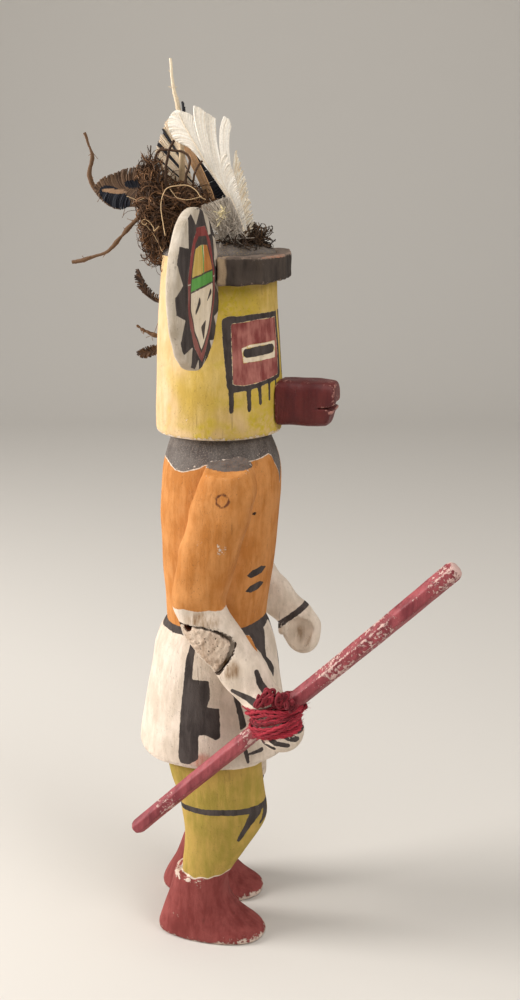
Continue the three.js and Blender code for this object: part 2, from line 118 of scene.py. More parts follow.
def skin(field):
    """The closed surface of a sampled form: one point in each cell that it passes, and quads."""
    solid = field < 0
    cells = np.zeros(tuple(n - 1 for n in field.shape), np.int8)
    corners = [(i, j, k) for i in (0, 1) for j in (0, 1) for k in (0, 1)]

    def at(values, c):
        return values[tuple(slice(o, o + n) for o, n in zip(c, cells.shape))]

    for c in corners:
        cells += at(solid, c)
    used = np.argwhere((cells > 0) & (cells < 8))
    value = {c: field[tuple((used + c).T)] for c in corners}
    total = np.zeros((len(used), 3))
    count = np.zeros(len(used))
    for c in corners:
        for axis in range(3):
            if c[axis]:
                continue
            d = tuple(o + (k == axis) for k, o in enumerate(c))
            cross = (value[c] < 0) != (value[d] < 0)
            t = np.where(cross, value[c] / np.where(cross, value[c] - value[d], 1), 0)
            point = np.array(c, float) + np.outer(t, np.eye(3)[axis])
            total += point * cross[:, None]
            count += cross
    points = used + total / count[:, None]
    number = np.full(cells.shape, -1, np.int32)
    number[tuple(used.T)] = np.arange(len(used))
    quads = []
    for axis in range(3):
        u, v = (axis + 1) % 3, (axis + 2) % 3
        low = solid.take(range(field.shape[axis] - 1), axis)
        high = solid.take(range(1, field.shape[axis]), axis)
        edge = np.argwhere(low != high)
        for k in (u, v):
            edge = edge[(edge[:, k] > 0) & (edge[:, k] < field.shape[k] - 1)]
        ring = []
        for du, dv in ((1, 1), (0, 1), (0, 0), (1, 0)):
            cell = edge.copy()
            cell[:, u] -= du
            cell[:, v] -= dv
            ring.append(number[tuple(cell.T)])
        ring = np.stack(ring, 1)
        outward = low[tuple(edge.T)]
        ring[~outward] = ring[~outward][:, ::-1]
        quads.append(ring)
    return points, np.concatenate(quads)


def bulge(points, quads):
    """How far each point stands proud of its neighbours, in mm: up on edges, down in grooves."""
    a = quads.ravel()
    b = np.roll(quads, -1, 1).ravel()
    count = np.bincount(a, minlength=len(points)) + np.bincount(b, minlength=len(points))

    def around(values):
        total = np.bincount(a, values[b], len(points)) + np.bincount(b, values[a], len(points))
        return total / np.maximum(count, 1)

    p = points[quads]
    face = np.cross(p[:, 2] - p[:, 0], p[:, 3] - p[:, 1])
    normal = np.stack([sum(np.bincount(quads[:, c], face[:, k], len(points)) for c in range(4))
                       for k in range(3)], 1)
    normal /= np.linalg.norm(normal, axis=1)[:, None] + 1e-9
    mean = np.stack([around(points[:, k]) for k in range(3)], 1)
    out = ((points - mean) * normal).sum(1)
    for _ in range(3):  # spread a little over the surface
        out = 0.5 * out + 0.5 * around(out)
    return out


# ---- pieces


def add_values(mesh, values):
    for key, value in values.items():
        row = mesh.attributes.new(key, "FLOAT", "POINT")
        row.data.foreach_set("value", np.asarray(value, np.float32))


def piece(name, points, faces, material, node, values):
    """A finished mesh in the part's frame, with its values at the points."""
    mesh = bpy.data.meshes.new(name)
    mesh.from_pydata(((np.asarray(points) + DOLL) * MM).tolist(), [], faces)
    add_values(mesh, values)
    mesh.update()
    settle(name, mesh, material, node)


def settle(name, mesh, material, node):
    """Puts a mesh in the scene: it rides on the doll and stands for its node."""
    mesh.shade_smooth()
    if not mesh.materials:
        mesh.materials.append(material)
    thing = bpy.data.objects.new(name, mesh)
    bpy.context.scene.collection.objects.link(thing)
    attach(thing, "root")
    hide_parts(node)


def carved(name, form, low, high, cell, paint, material, node):
    """A carved piece: the form's skin, with its painted areas as values at its points."""
    axes = [np.arange(a, b + cell, cell, dtype=np.float32) for a, b in zip(low, high)]
    x, y, z = np.meshgrid(*axes, indexing="ij", sparse=True)
    field = np.broadcast_to(form(x, y, z), [len(a) for a in axes])
    points, quads = skin(field)
    points = points * cell + np.array(low)
    values = paint(*points.T)
    values["edge"] = bulge(points, quads)
    piece(name, points, quads.tolist(), material, node, values)


# ---- painted shapes, as mm inside an outline

OUTSIDE = -9.0  # the value well outside a shape


def only(where):
    """Added to a shape, keeps it where the condition holds and puts the rest far outside."""
    return np.where(where, 0.0, OUTSIDE)


def inside(u, v, outline):
    best = np.full(u.shape, 1e9)
    within = np.zeros(u.shape, bool)
    for (ax, ay), (bx, by) in zip(outline, outline[1:] + outline[:1]):
        ex, ey = bx - ax, by - ay
        t = np.clip(((u - ax) * ex + (v - ay) * ey) / (ex * ex + ey * ey + 1e-12), 0, 1)
        best = np.minimum(best, np.hypot(u - ax - t * ex, v - ay - t * ey))
        crosses = (ay > v) != (by > v)
        within ^= crosses & (u < ax + (v - ay) * ex / (ey if ey else 1e-9))
    return np.where(within, best, -best)


def stroke(u, v, line, widths):
    """A brush stroke along a line, with its half-width at each point."""
    best = np.full(u.shape, -1e9)
    for (ax, ay), (bx, by), wa, wb in zip(line, line[1:], widths, widths[1:]):
        ex, ey = bx - ax, by - ay
        t = np.clip(((u - ax) * ex + (v - ay) * ey) / (ex * ex + ey * ey), 0, 1)
        best = np.maximum(best, wa + (wb - wa) * t - np.hypot(u - ax - t * ex, v - ay - t * ey))
    return best


def leaf(u, v, a, b, half):
    """A short blunt brush mark, full in the middle."""
    at = [(a[0] + (b[0] - a[0]) * t, a[1] + (b[1] - a[1]) * t) for t in (0, 0.25, 0.7, 1)]
    return stroke(u, v, at, [0.25, half, half, 0.3])


def most(*values):
    return reduce(np.maximum, values)


def least(*values):
    return reduce(np.minimum, values)


def patch(around, z, scale, outline):
    """An outline given as (degrees round the body, height); scale is the mm for one degree."""
    return inside(around * scale, z, [(a * scale, height) for a, height in outline])


def mark(around, z, scale, line, widths):
    """A brush stroke whose line is given in the same way."""
    return stroke(around * scale, z, [(a * scale, height) for a, height in line], widths)


# ---- the carved body

MASK = [  # height, middle in y, radius
    (187, -1.0, 21.5), (195, -1.1, 21.75), (204, -1.3, 21.6), (214, -1.15, 20.9),
    (224, -1.1, 20.2), (234, -1.2, 19.7), (247, -1.7, 18.9), (252, -1.8, 18.6),
]
TORSO = [  # height, middle in y, half depth, half width
    (112, 0.6, 16.6, 19.4), (118, 0.4, 17, 20), (124, 0.2, 17.6, 20.6), (135.5, -0.3, 18.8, 21.6),
    (147, -0.8, 19.7, 22.4), (158, -1.1, 20.4, 23), (165, -1.6, 20.6, 23.2), (172, -1.9, 20.3, 22.8),
    (176, -2, 19.8, 22), (179, -2.1, 19, 21), (183, -1.9, 17.8, 19.4), (186, -1.6, 16.4, 17.4),
    (191, -1.4, 15.6, 16.6),
]
KILT = [  # height, middle in y, half depth, half width
    (66, 1.7, 27.4, 27.4), (71.7, 1.7, 27.1, 27.2), (77, 1.8, 26.4, 26.6), (89, 1.5, 24.6, 25.4),
    (101, 1.1, 22.8, 24), (109, 1.1, 21.4, 22.8), (116.5, 0.8, 19.0, 20.9), (121, 0.6, 15.0, 17.4),
]
LEG = [  # height, back, front, half width
    (80, 15.2, -18.4, 10.2), (68, 15.2, -18.8, 10.4), (59, 12.6, -19.7, 10.5), (52, 10.6, -21.1, 10.4),
    (47, 9.9, -20.5, 10.1), (40.5, 9, -17.3, 9.6), (34, 9.35, -12.9, 9.2), (28, 10.2, -9, 9),
    (20, 10.1, -5.4, 9),
]
BOOT = [  # the same four measures, down to the sole
    (28, 12.4, -6.0, 9.7), (23, 13.4, -6, 9.8), (18, 14.6, -5.9, 9.9), (14, 15.7, -6.6, 10.1),
    (9, 17.6, -9.8, 10.6), (5, 19, -14.6, 11.2), (2.4, 19.8, -20, 11.5), (0.7, 19.6, -20.9, 11.5),
    (-1, 18.6, -19.0, 10.8),
]
LEG_X = 13.75
LEG_TOP, LEG_FOOT = 80, 18
HEM, KILT_TOP = 70.5, 119.2
TORSO_FOOT, TORSO_TOP = 112, 190
CHIN, CROWN = 187.1, 247.6  # the mask's lower and upper edge
DOME = 4.4  # how far the crown rises in its middle
LEFT_FOOT_BACK = 7.0
TAB_Y = -15.4  # the small tab of the loincloth between the legs

mask_y, mask_r = (profile(MASK, k) for k in (1, 2))
torso_y, torso_d, torso_w = (profile(TORSO, k, 1.6) for k in (1, 2, 3))
kilt_y, kilt_d, kilt_w = (profile(KILT, k, 1.2) for k in (1, 2, 3))
leg_back, leg_front, leg_w = (profile(LEG, k, 1.8) for k in (1, 2, 3))
boot_back, boot_front, boot_w = (profile(BOOT, k, 0.9) for k in (1, 2, 3))


def boot_edge(x, y):
    """Height of the boot's top edge, which falls a little to the back."""
    return 25.6 - 0.10 * y + 0.35 * np.sin(x * 0.9) + 0.3 * np.sin(y * 1.3)


def mask_form(x, y, z):
    out = np.hypot(x, y - mask_y(z)) - mask_r(z) + 0.16 * uneven(x, y, z, 17, 3)
    rise = DOME * (1 - (x * x + (y + 1.6) ** 2) / 19.0**2)
    return both(both(out, CHIN - z, 1.1), z - CROWN - rise, 1.4)


def torso_form(x, y, z):
    out = oval(x, y - torso_y(z), torso_w(z), torso_d(z), 2.15) + 0.2 * uneven(x, y, z, 16, 5)
    return both(both(out, z - TORSO_TOP), TORSO_FOOT - z)


def kilt_form(x, y, z):
    out = oval(x, y - kilt_y(z), kilt_w(z), kilt_d(z), 2.05) + 0.22 * uneven(x, y, z, 20, 7)
    return both(both(out, z - KILT_TOP, 0.8), HEM + 0.25 * uneven(x, y, 0, 22, 8) - z, 1.0)


def foot_back(side):
    """How far back a foot stands; the left one is behind the right."""
    return LEFT_FOOT_BACK if side > 0 else 0.0


def leg_form(x, y, z, side):
    front = foot_back(side)
    back = front - 3 * np.clip(z / 23, 0, 1) if side > 0 else 0.0
    x = x - side * LEG_X

    def section(b, f, w, square):
        b, f = b(z) + back, f(z) + front
        return oval(x, y - (b + f) / 2, w(z), (b - f) / 2, square)

    upper = both(both(section(leg_back, leg_front, leg_w, 2.3), LEG_FOOT - z), z - LEG_TOP)
    boot = both(section(boot_back, boot_front, boot_w, 2.4), z - boot_edge(x, y - front), 0.5)
    return either(upper, both(boot, -z, 0.7), 0.4) + 0.15 * uneven(x, y, z, 13, 11)


def tab_form(x, y, z):
    return both(oval(x, y - TAB_Y, 2.6, 2.3, 3), np.maximum(57.5 - z, z - LEG_TOP), 1.2)


def body_form(x, y, z):
    out = either(mask_form(x, y, z), torso_form(x, y, z), 0.5)
    out = either(out, kilt_form(x, y, z), 0.5)
    for side in (-1, 1):
        out = either(out, leg_form(x, y, z, side), 0.5)
    return either(out, tab_form(x, y, z), 0.4)


SHOULDER_LINE = [  # degrees round from the front, height of the black's lower edge
    (0, 168), (3, 172.9), (10.5, 177.1), (12.8, 179.7), (17.4, 180.7), (34, 180.1), (45, 179.8),
    (86, 179.1), (91, 178), (100, 177), (107, 176.2), (117, 176.4), (129, 177.9), (139, 178.5), (180, 178.2),
]
ON_MASK, ON_TORSO, ON_KILT = 0.37, 0.37, 0.43  # mm round the surface for each degree
BELT = (116.9, 119.9)
MASK_PAINT, TORSO_PAINT = 187.0, 119.5  # where the mask's and the torso's colours begin
GARTER = 52.8
CROWN_EDGE = 246.2  # the crown above it is black


def eye_panel(a, z):
    """The square panel's black, its cream lines and its red, on the mask laid flat."""
    border = patch(a, z, ON_MASK, [
        (69.3, 227), (68.8, 220.5), (67, 212.5), (65.9, 205.2), (61.7, 203.3), (45.4, 203.9), (27.3, 205.2),
        (6.5, 206.2), (3.4, 207.5), (2.8, 228.3), (38.8, 228.3), (54, 227.8), (63.2, 228.1),
    ])
    field = patch(a, z, ON_MASK, [
        (60.8, 225.5), (49, 225.8), (35, 226.4), (7.6, 226.3), (8, 215), (9.5, 207.6), (36.8, 206.1),
        (51.5, 205.5), (60.2, 206),
    ])
    panel = patch(a, z, ON_MASK, [(52, 217.6), (43.5, 218.5), (11.1, 218.9), (13.2, 213.3), (50.6, 212.8)])
    slit = mark(a, z, ON_MASK, [(46.6, 215.9), (31, 216.3), (18, 216.5)], [1.5, 1.55, 1.45])
    drips = most(*(mark(a, z, ON_MASK, [top, end], [width, width * 0.85]) for top, end, width in (
        ((62.2, 204), (61.9, 197.2), 0.85), ((46.9, 204.5), (46.2, 197.3), 0.8),
        ((36.1, 205.2), (34.9, 198.8), 0.66), ((24.4, 205.6), (23.6, 199.8), 0.55),
        ((14.5, 206), (12.4, 199.4), 0.4),
    )))
    black = most(np.minimum(border, -field - 0.12), drips, slit)
    return black, np.minimum(field, -panel), np.minimum(border, -slit)


def kilt_black(a, z):
    """The kilt's stepped field, its narrow one and its wedge, with two small strokes at the hem."""
    fields = ([
        (101.3, 116.4), (104.1, 110.7), (104.6, 104.9), (105.1, 98.9), (106.6, 92.8), (106.9, 83.7),
        (106.7, 74.6), (105, 72.4), (98.5, 72.3), (90.9, 74.6), (91.2, 83.6), (84.7, 83.6), (78, 81.8),
        (74.4, 82.4), (74.3, 88), (74.8, 93.1), (84.9, 93.7), (82.2, 97), (83, 103), (97.6, 103.2),
        (97.4, 109.4), (95.6, 116.4),
    ], [
        (66, 104), (62.8, 97), (59.1, 89.6), (58.1, 84.4), (52, 85.8), (54.5, 90.5), (56.5, 93.7), (60, 104),
    ], [
        (42, 117.5), (38, 115.5), (35.5, 112.4), (29.2, 109.4), (24.5, 105.9), (15.7, 100.4), (13.4, 98.2),
        (9, 101.8), (12.2, 104.2), (21, 107.4), (20.5, 110.2), (12, 117.5),
    ])
    return most(*(patch(a, z, ON_KILT, outline) for outline in fields),
                mark(a, z, ON_KILT, [(54.5, 77.4), (52.3, 72.6)], [0.8, 0.6]),
                mark(a, z, ON_KILT, [(52, 75.2), (39.2, 75.6)], [0.5, 0.8]))


def leg_black(x, y, z):
    """The garter round each leg, with its loose end outside and its short one in front."""
    out = np.full(x.shape, OUTSIDE)
    for side in (-1, 1):
        v = y - foot_back(side)
        garter = 1.15 - np.abs(z - GARTER + 0.07 * v) + only(x * side > 0)
        tie = stroke(v, z, [(-18.4, 52.6), (-15.6, 47.6), (-12.6, 41.9)], [1.7, 1.0, 0.6])
        front = stroke(v, z, [(-21.4, 53.4), (-21.0, 50), (-19.6, 47.4)], [0.9, 0.7, 0.3])
        ends = np.minimum(most(tie, front), 0.9) + only(x * side > LEG_X - 1)
        out = most(out, np.minimum(garter, 62 - z), ends)
    return out


def boot_scuffs(x, y, z):
    """Worn spots on the outer side of the right boot."""
    spots = [(3.6, 15, 3.4), (-8.2, 12.4, 1.6), (-19, 8.6, 3), (11, 10, 3), (2, 22, 2.5)]
    near = sum(np.clip(1 - np.hypot(y - a, z - b) / r, 0, 1) for a, b, r in spots)
    return 0.75 * near * np.where((x < -LEG_X) & (z < 25), 1, 0)


def body_paint(x, y, z):
    a = np.abs(np.degrees(np.arctan2(-x, -y)))
    right_side = np.where(x < 0, 0.0, -5.0)
    line = np.interp(a, *zip(*SHOULDER_LINE))
    boot_top = boot_edge(x, y)
    on_mask = z - MASK_PAINT
    panel_black, panel_red, panel_all = eye_panel(a, z)
    belt = np.minimum(z - BELT[0], BELT[1] - z) + 0.25 * uneven(x, y, z, 12, 21)
    leaves = most(*(leaf(a * ON_TORSO, z, (47.5 * ON_TORSO, back_z), (front_a * ON_TORSO, front_z), 1.4)
                    for back_z, front_a, front_z in ((139.5, 20, 140.5), (133.9, 21, 134.8))))
    near_tab = (np.abs(x) < 3.2) & (np.abs(y - TAB_Y) < 3.2) & (z > 56) & (z < HEM)
    tab = np.where(near_tab, 1.0, -1.0)
    strip = patch(a, z, ON_KILT, [(47, 117.2), (39.6, 116.4), (35, 112.3), (33, 110), (37, 111)])
    stained = patch(a, z, ON_KILT, [(99, 71), (99, 75), (86, 77), (80, 75), (84, 71)])
    lemon = most(
        7.0 - np.hypot(y + 10.5, (z - 230.5) * 0.8) + right_side,
        np.where(y < -10, 13.0 - np.hypot(x, z - SNOUT_Z), OUTSIDE),
        2.6 * uneven(x, y, z, 9, 62) - 1.2 - 0.16 * (z - 198) + 0.12 * (-y - 6))
    shoulder_wear = np.clip(1 - np.abs(z - line - 0.5) / 1.4, 0, 1) * np.where(z < 187, 0.7, 0)
    jaw_chip = np.clip(1.5 - np.hypot(y - 4.2, z - 194.5), 0, 1) * np.where(x < 0, 1, 0)
    return {
        "yellow": on_mask,
        "ochre": least(HEM - 0.2 - z, z - boot_top - 0.45, -tab),
        # the back of the mask, where the key light falls, painted a paler yellow as a painted highlight; also
        # along its lower edge
        "painted_highlight_yellow": np.minimum(on_mask, most(0.42 * (y - 9), 0.25 * (192 - z)) + 1.4 * uneven(x, y, z, 15, 61)),
        "lemon": np.minimum(on_mask, lemon),
        "orange": most(np.minimum(z - TORSO_PAINT, line - 0.3 - z), strip + right_side),
        "red": boot_top - z,
        "rosy": np.minimum(panel_red, on_mask),
        "bare": least(panel_all, -panel_red, on_mask),
        # the neck, shoulder tops and crown: black painted lighter, as a painted sheen
        "black_with_painted_sheen": most(np.minimum(z - line, MASK_PAINT - z), z - CROWN_EDGE),
        "black": most(panel_black, belt, leaves, kilt_black(a, z), leg_black(x, y, z),
                      np.minimum(tab, stroke(x, z, [(1.4, 66), (2.2, 63)], [1.2, 1.0]))),
        "pit": 0.55 - np.hypot(y + 17.1, z - 161.8) + right_side,
        "pink": stained + right_side,
        "worn": shoulder_wear - 3.0 * np.clip(z - 245, 0, 1) + jaw_chip
        + 0.26 * np.clip(1 - np.abs(z - boot_top) / 1.2, 0, 1) + boot_scuffs(x, y, z),
    }


# ---- the arms

RIGHT_UPPER = [  # x, y, z, half thickness, half width
    (-23.0, -10.5, 176.5, 6.6, 8.0), (-25.0, -10.2, 172, 7.6, 9.3), (-25.6, -8, 164, 8.4, 9.5),
    (-26, -3.9, 150, 8.8, 9.4), (-26.4, -1.2, 138, 8.8, 8.8),
]
RIGHT_FORE = [
    (-27.4, -0.6, 133.4, 7.9, 8.3), (-29.6, -4.2, 126.0, 5.9, 8.0), (-30, -8, 121, 5.4, 8.0),
    (-30.6, -17.4, 109.8, 5.1, 7.5), (-31.6, -23.2, 103.0, 4.8, 6.5),
]
RIGHT_HAND = [(-32.6, -25.8, 99.8, 5.6, 6.9), (-34.2, -29.4, 95.4, 6.4, 8.0), (-34.4, -31.0, 93.0, 6.0, 7.4)]
LEFT_UPPER = [
    (23.0, -4.6, 176.5, 6.6, 8.0), (25.0, -4.3, 172, 7.6, 9.3), (25.6, -3.4, 164, 8.4, 9.5),
    (26, -0.6, 150, 8.8, 9.4), (26.4, 1.2, 138, 8.8, 8.8),
]
LEFT_FORE = [
    (27.6, 1.2, 133, 7.9, 8.2), (29.7, -1.6, 129.5, 5.9, 7.9), (30, -6.6, 124.4, 5.4, 7.8),
    (30.5, -13.4, 117.2, 5, 7), (31, -19.8, 111, 4.7, 5.9),
]
LEFT_HAND = [(31, -22.6, 108.6, 5.0, 6.4), (30.8, -24.4, 104.4, 5.2, 7.2), (30.4, -25.2, 100.8, 4.8, 6.2)]
ARMS = {-1: (RIGHT_UPPER, RIGHT_FORE, RIGHT_HAND), 1: (LEFT_UPPER, LEFT_FORE, LEFT_HAND)}
WHITE_TOP = 132.9  # the white of the forearms ends here
# the black above these facets is painted lighter, as a painted sheen
RIGHT_FACET, LEFT_FACET = 178.9, 179.3  # the shoulders are black above these
STAFF_X = -34.5
STAFF_LOW, STAFF_HIGH = (21.4, 49.1), (-86.4, 154.1)  # the middles of its ends, (y, z)
STAFF_LOW_R, STAFF_HIGH_R = 2.75, 3.4
FILLER = [  # the repair's outline on the side of the elbow, (y, z)
    (4.5, 127.4), (-4.4, 127.3), (-10.1, 126), (-13.2, 124.4), (-15, 122.2), (-14.2, 118.6),
    (-12.6, 115.4), (-9.4, 111.2), (-5, 108.6), (6.5, 122.6),
]
FILLER_FLOOR = -32.6
ELBOW_HOLE = (1.2, 126.2)
PEG = (-10.7, 170.6)
PALM = (-24.3, 103.2)
SEAM = 0.25  # the gap between pieces that meet
HAND_STROKES = [  # black marks on the right forearm and fingers: (y, z) points and half-widths
    ([(-22.4, 113.2), (-23.6, 109.4), (-25.6, 106.5), (-27.2, 104.4)], [0.7, 1.1, 1.2, 1.2]),
    ([(-14.2, 105.6), (-18, 104.4), (-23, 102.6)], [0.8, 1.1, 1.4]),
    ([(-33.1, 97.5), (-37.3, 95.3)], [1.2, 1.5]),
    ([(-29.4, 95.5), (-32.9, 93.8), (-36.5, 92.3)], [1.0, 1.2, 1.1]),
    ([(-26.5, 92.7), (-29.9, 90.7), (-33.8, 90.1)], [0.9, 1.0, 1.0]),
    ([(-24.7, 89.9), (-29.3, 88.3)], [0.6, 0.7]),
]


def shoulder_cut(x, z, side):
    """The nearly level facet that tops an arm."""
    return (x * side - 23.8) * 0.27 + (z - 180.0) * 0.963


def staff_distance(x, y, z):
    run = np.array([STAFF_HIGH[0] - STAFF_LOW[0], STAFF_HIGH[1] - STAFF_LOW[1]])
    dy, dz = y - STAFF_LOW[0], z - STAFF_LOW[1]
    t = (dy * run[0] + dz * run[1]) / (run @ run)
    across = np.hypot(dy - t * run[0], dz - t * run[1])
    return np.hypot(x - STAFF_X, across) - (STAFF_LOW_R + (STAFF_HIGH_R - STAFF_LOW_R) * t)


def arm_whole(x, y, z, side):
    upper, fore, hand = ARMS[side]
    out = limb(x, y, z, upper, 3.0)
    out = both(out, shoulder_cut(x, z, side), 0.3)
    out = either(out, limb(x, y, z, fore, 2.7), 2.0)
    return either(out, limb(x, y, z, hand, 2.5), 1.2) + 0.15 * uneven(x, y, z, 13, 30 + side)


def off_body(x, y, z):
    """The body grown by the seam, for cutting the arms back from it."""
    return either(torso_form(x, y, z), kilt_form(x, y, z)) - SEAM


WRAP = (-33.8, -28.2, 99.0)  # the middle of the yarn's turns
WRAP_NORMAL = (0.0, 0.34, 0.94)  # square to the turns, which rise to the front
WRAP_ALONG = (0.0, 0.652, 0.758)  # the way along the forearm
WRAP_DEPTH = 1.3  # how far they have sunk into hand and wrist


def pressed(y, z):
    """The band of the hand under the yarn, as a share from nought to one."""
    rise = (y - WRAP[1]) * WRAP_NORMAL[1] + (z - WRAP[2]) * WRAP_NORMAL[2]
    height = rise / np.dot(WRAP_NORMAL, WRAP_ALONG)
    return np.clip((height + 8.4) / 1.4, 0, 1) * np.clip((4.2 - height) / 1.4, 0, 1)


def elbow_hole(y, z):
    """How far a point is from the middle of the hole behind the repair."""
    return np.hypot(y - ELBOW_HOLE[0], z - ELBOW_HOLE[1])


def right_arm_form(x, y, z):
    out = arm_whole(x, y, z, -1) + WRAP_DEPTH * pressed(y, z)
    out = both(out, -off_body(x, y, z), 0.2)
    out = both(out, -(staff_distance(x, y, z) - 0.2), 0.2)
    pocket = np.maximum(-inside(y + 0 * z, z + 0 * y, FILLER), x - FILLER_FLOOR)
    out = both(out, -pocket, 0.2)
    return both(out, -np.maximum(elbow_hole(y, z) - 1.1, x + 26), 0.3)


def left_arm_form(x, y, z):
    """The open hand: a shallow bowl for its palm, and a thumb."""
    out = arm_whole(x, y, z, 1)
    across = (y - PALM[0]) * 0.94 + (z - PALM[1]) * 0.34
    along = (z - PALM[1]) * 0.94 - (y - PALM[0]) * 0.34
    bowl = (np.abs(across / 4.6) ** 3 + np.abs(along / 6.2) ** 3) ** (1 / 3)
    palm = np.maximum((bowl - 1) * 4.6, x - 28.6 + 1.6 * bowl)
    out = both(out, -palm, 0.7)
    thumb = limb(x, y, z, [(26.6, -18.2, 106.6, 2.0, 1.9), (26.8, -17.9, 103.8, 1.8, 1.5)], 2)
    return both(either(out, thumb, 0.5), -off_body(x, y, z), 0.2)


def right_arm_paint(x, y, z):
    side = only(x < -30)
    peg = np.hypot(y - PEG[0], z - PEG[1]) + 0.12 * np.sin(3 * y + 2 * z)
    scuff = most(1.6 - np.hypot(y + 10.4, (z - 154.6) * 0.7), 1.3 - np.hypot(y + 3.6, (z - 157) * 0.8))
    brown = most(3.4 - np.hypot((y + 12.6) * 0.8, z - 113.4), 3.0 - np.hypot((y + 4) * 0.55, z - 129.6))
    return {
        "orange": z - WHITE_TOP - 0.25 * np.sin(y * 0.8),
        "black_with_painted_sheen": z - RIGHT_FACET - 0.012 * (y + 10) ** 2,
        "black": most(*(stroke(y, z, line, widths) for line, widths in HAND_STROKES)) + side,
        "pit": 0.45 - np.abs(inside(y, z, FILLER)) + only(x < -29),
        "ring": most(0.34 - np.abs(peg - 2.0) + only(x < -27), 1.7 - elbow_hole(y, z)),
        "stain_and_shade": brown + side,
        "worn": np.clip(scuff + side + 0.6, 0, 1) + 0.4 * np.clip(1 - np.abs(z - 179.4), 0, 1),
    }


def left_arm_paint(x, y, z):
    """The arm's finish also has a ring and a pit, which this side lacks."""
    along = (y + 21.2) * -0.62 + (z - 110.0) * -0.78
    away = np.full(x.shape, OUTSIDE)
    return {
        "orange": z - WHITE_TOP,
        "black_with_painted_sheen": z - LEFT_FACET,
        "black": np.minimum(1.1 - np.abs(along), 116.5 - z),
        # brown in the palm's hollow: painted shade where the hollow lies in shadow
        "stain_and_shade": 1.6 - np.hypot(y + 24.5, (z - 103) * 0.6) + only(x < 29.4),
        "ring": away,
        "pit": away,
        "worn": 0 * x,
    }


def filler_form(x, y, z):
    rough = 0.14 * uneven(x, y, z, 3.1, 41) + 0.2 * uneven(x, y, z, 1.2, 42)
    front_gap = 0.4 + 1.25 * np.clip((-y - 7) / 5, 0, 1)
    outline = -inside(y + 0 * z, z + 0 * y, FILLER) + front_gap + 0.25 * uneven(x, y, z, 2.4, 43)
    out = both(arm_whole(x, y, z, -1) + 0.25 + rough, outline, 0.8)
    out = both(out, x - FILLER_FLOOR + 0.3)
    return both(out, 1.3 - elbow_hole(y, z), 0.3)


def filler_paint(x, y, z):
    """Small pits and stains scattered over the paste."""
    return {"pit": 0.5 * uneven(x, y, z, 1.3, 44) - 0.52, "stain_and_shade": 0.8 * uneven(x, y, z, 6, 45) - 0.7}


# ---- head pieces

SNOUT_Z, SNOUT_FRONT = 197.7, -42.0
MOUTH_Z = 196.9
VISOR_LOW, VISOR_TOP = 238.0, 247.0


def off_mask(x, y, z):
    """The mask grown by the seam, for cutting back what sits on it."""
    return mask_form(x, y, z) - SEAM


def snout_form(x, y, z):
    """A block that narrows a little at its tip, with a slot for the mouth that gapes to the front."""
    narrow = np.clip((-y - 36) / 6, 0, 1)
    out = oval(x, z - SNOUT_Z, 7.0 - 0.35 * narrow, 7.65 - 0.5 * narrow, 4.2)
    front = SNOUT_FRONT + 0.014 * (z - 200) ** 2 + 0.9 * np.clip(195.4 - z, 0, 1)
    out = both(out, front - y, 1.3)
    gape = 0.22 + 0.95 * np.clip((-y - 38.6) / 3.4, 0, 1) ** 1.4
    slot = np.maximum(np.abs(z - MOUTH_Z + 0.05 * (y - SNOUT_FRONT)) - gape, y + 35.4 + 0 * x)
    out = both(both(out, -slot, 0.4), y + 18)
    return both(out, -off_mask(x, y, z), 0.2) + 0.14 * uneven(x, y, z, 8, 51)


def visor_bevel(x, y):
    """The slanted faces at its front corners."""
    return (-y - 21.2) * 0.965 + (x - 19.6) * 0.262


def visor_form(x, y, z):
    ax = np.abs(x)
    out = both(ax - 23.4 - 0.27 * (y + 7), -y - 24.9, 0.6)
    out = both(out, visor_bevel(ax, y), 0.6)
    out = both(out, y + 6.8, 0.4)
    low = VISOR_LOW + 0.05 * np.clip(-y - 12, 0, 20)
    out = both(out, np.maximum(low - z, z - VISOR_TOP), 0.7)
    return both(out, -off_mask(x, y, z), 0.2) + 0.13 * uneven(x, y, z, 7, 53)


def visor_paint(x, y, z):
    rubbed = stroke(y, z, [(-20.6, 247.0), (-24.6, 246.8)], [0.35, 0.6]) + only(x < -4)
    return {
        "weathered": z - VISOR_TOP + 0.65,
        "tan": y + 9.3 + 0.5 * uneven(x, y, z, 4, 55) + only(x < 0),
        "rubbed": np.minimum(rubbed, visor_bevel(-x, y) + 0.9),
        "worn": 0.5 * np.clip((-y - 19) / 5, 0, 1) * np.clip((z - 243.5) / 3, 0, 1),
    }


DISC = (-43.0, -4.9, 239.0)
DISC_R, DISC_HALF = 24.3, 1.6
DISC_TEETH = [  # white triangles round the sun face, in shares of the radius
    [(-0.9, 0.6), (-0.44, 0.88), (-0.42, 0.53)], [(-1.0, 0.5), (-0.7, 0.12), (-1.05, -0.02)],
    [(-0.97, -0.2), (-0.62, -0.3), (-0.84, -0.56)], [(-0.74, -0.71), (-0.3, -0.67), (-0.42, -0.97)],
    [(-0.33, -1.0), (-0.05, -0.86), (-0.06, -1.04)], [(0.06, -1.0), (0.31, -0.85), (0.15, -1.02)],
    [(-0.38, 0.97), (0.09, 0.97), (-0.09, 0.79)], [(0.21, 1.0), (0.47, 0.9), (0.58, 0.64), (0.46, 0.64)],
    [(0.66, 0.62), (1.04, 0.47), (0.82, 0.2)], [(0.8, 0.0), (1.04, 0.08), (1.02, -0.22)],
    [(0.72, -0.42), (1.0, -0.34), (0.86, -0.66)], [(0.5, -0.7), (0.78, -0.72), (0.6, -0.9)],
]


def disc_form(x, y, z):
    out = both(np.hypot(x - DISC[0], z - DISC[2]) - DISC_R, np.abs(y - DISC[1]) - DISC_HALF, 0.9)
    out = both(out, -off_mask(x, y, z), 0.2)
    notch = most(-26.2 - x, -y - 60, y + 6.4, VISOR_LOW - 0.4 - z, z - VISOR_TOP - 0.4)
    return both(out, -notch, 0.2) + 0.1 * uneven(x, y, z, 9, 57)


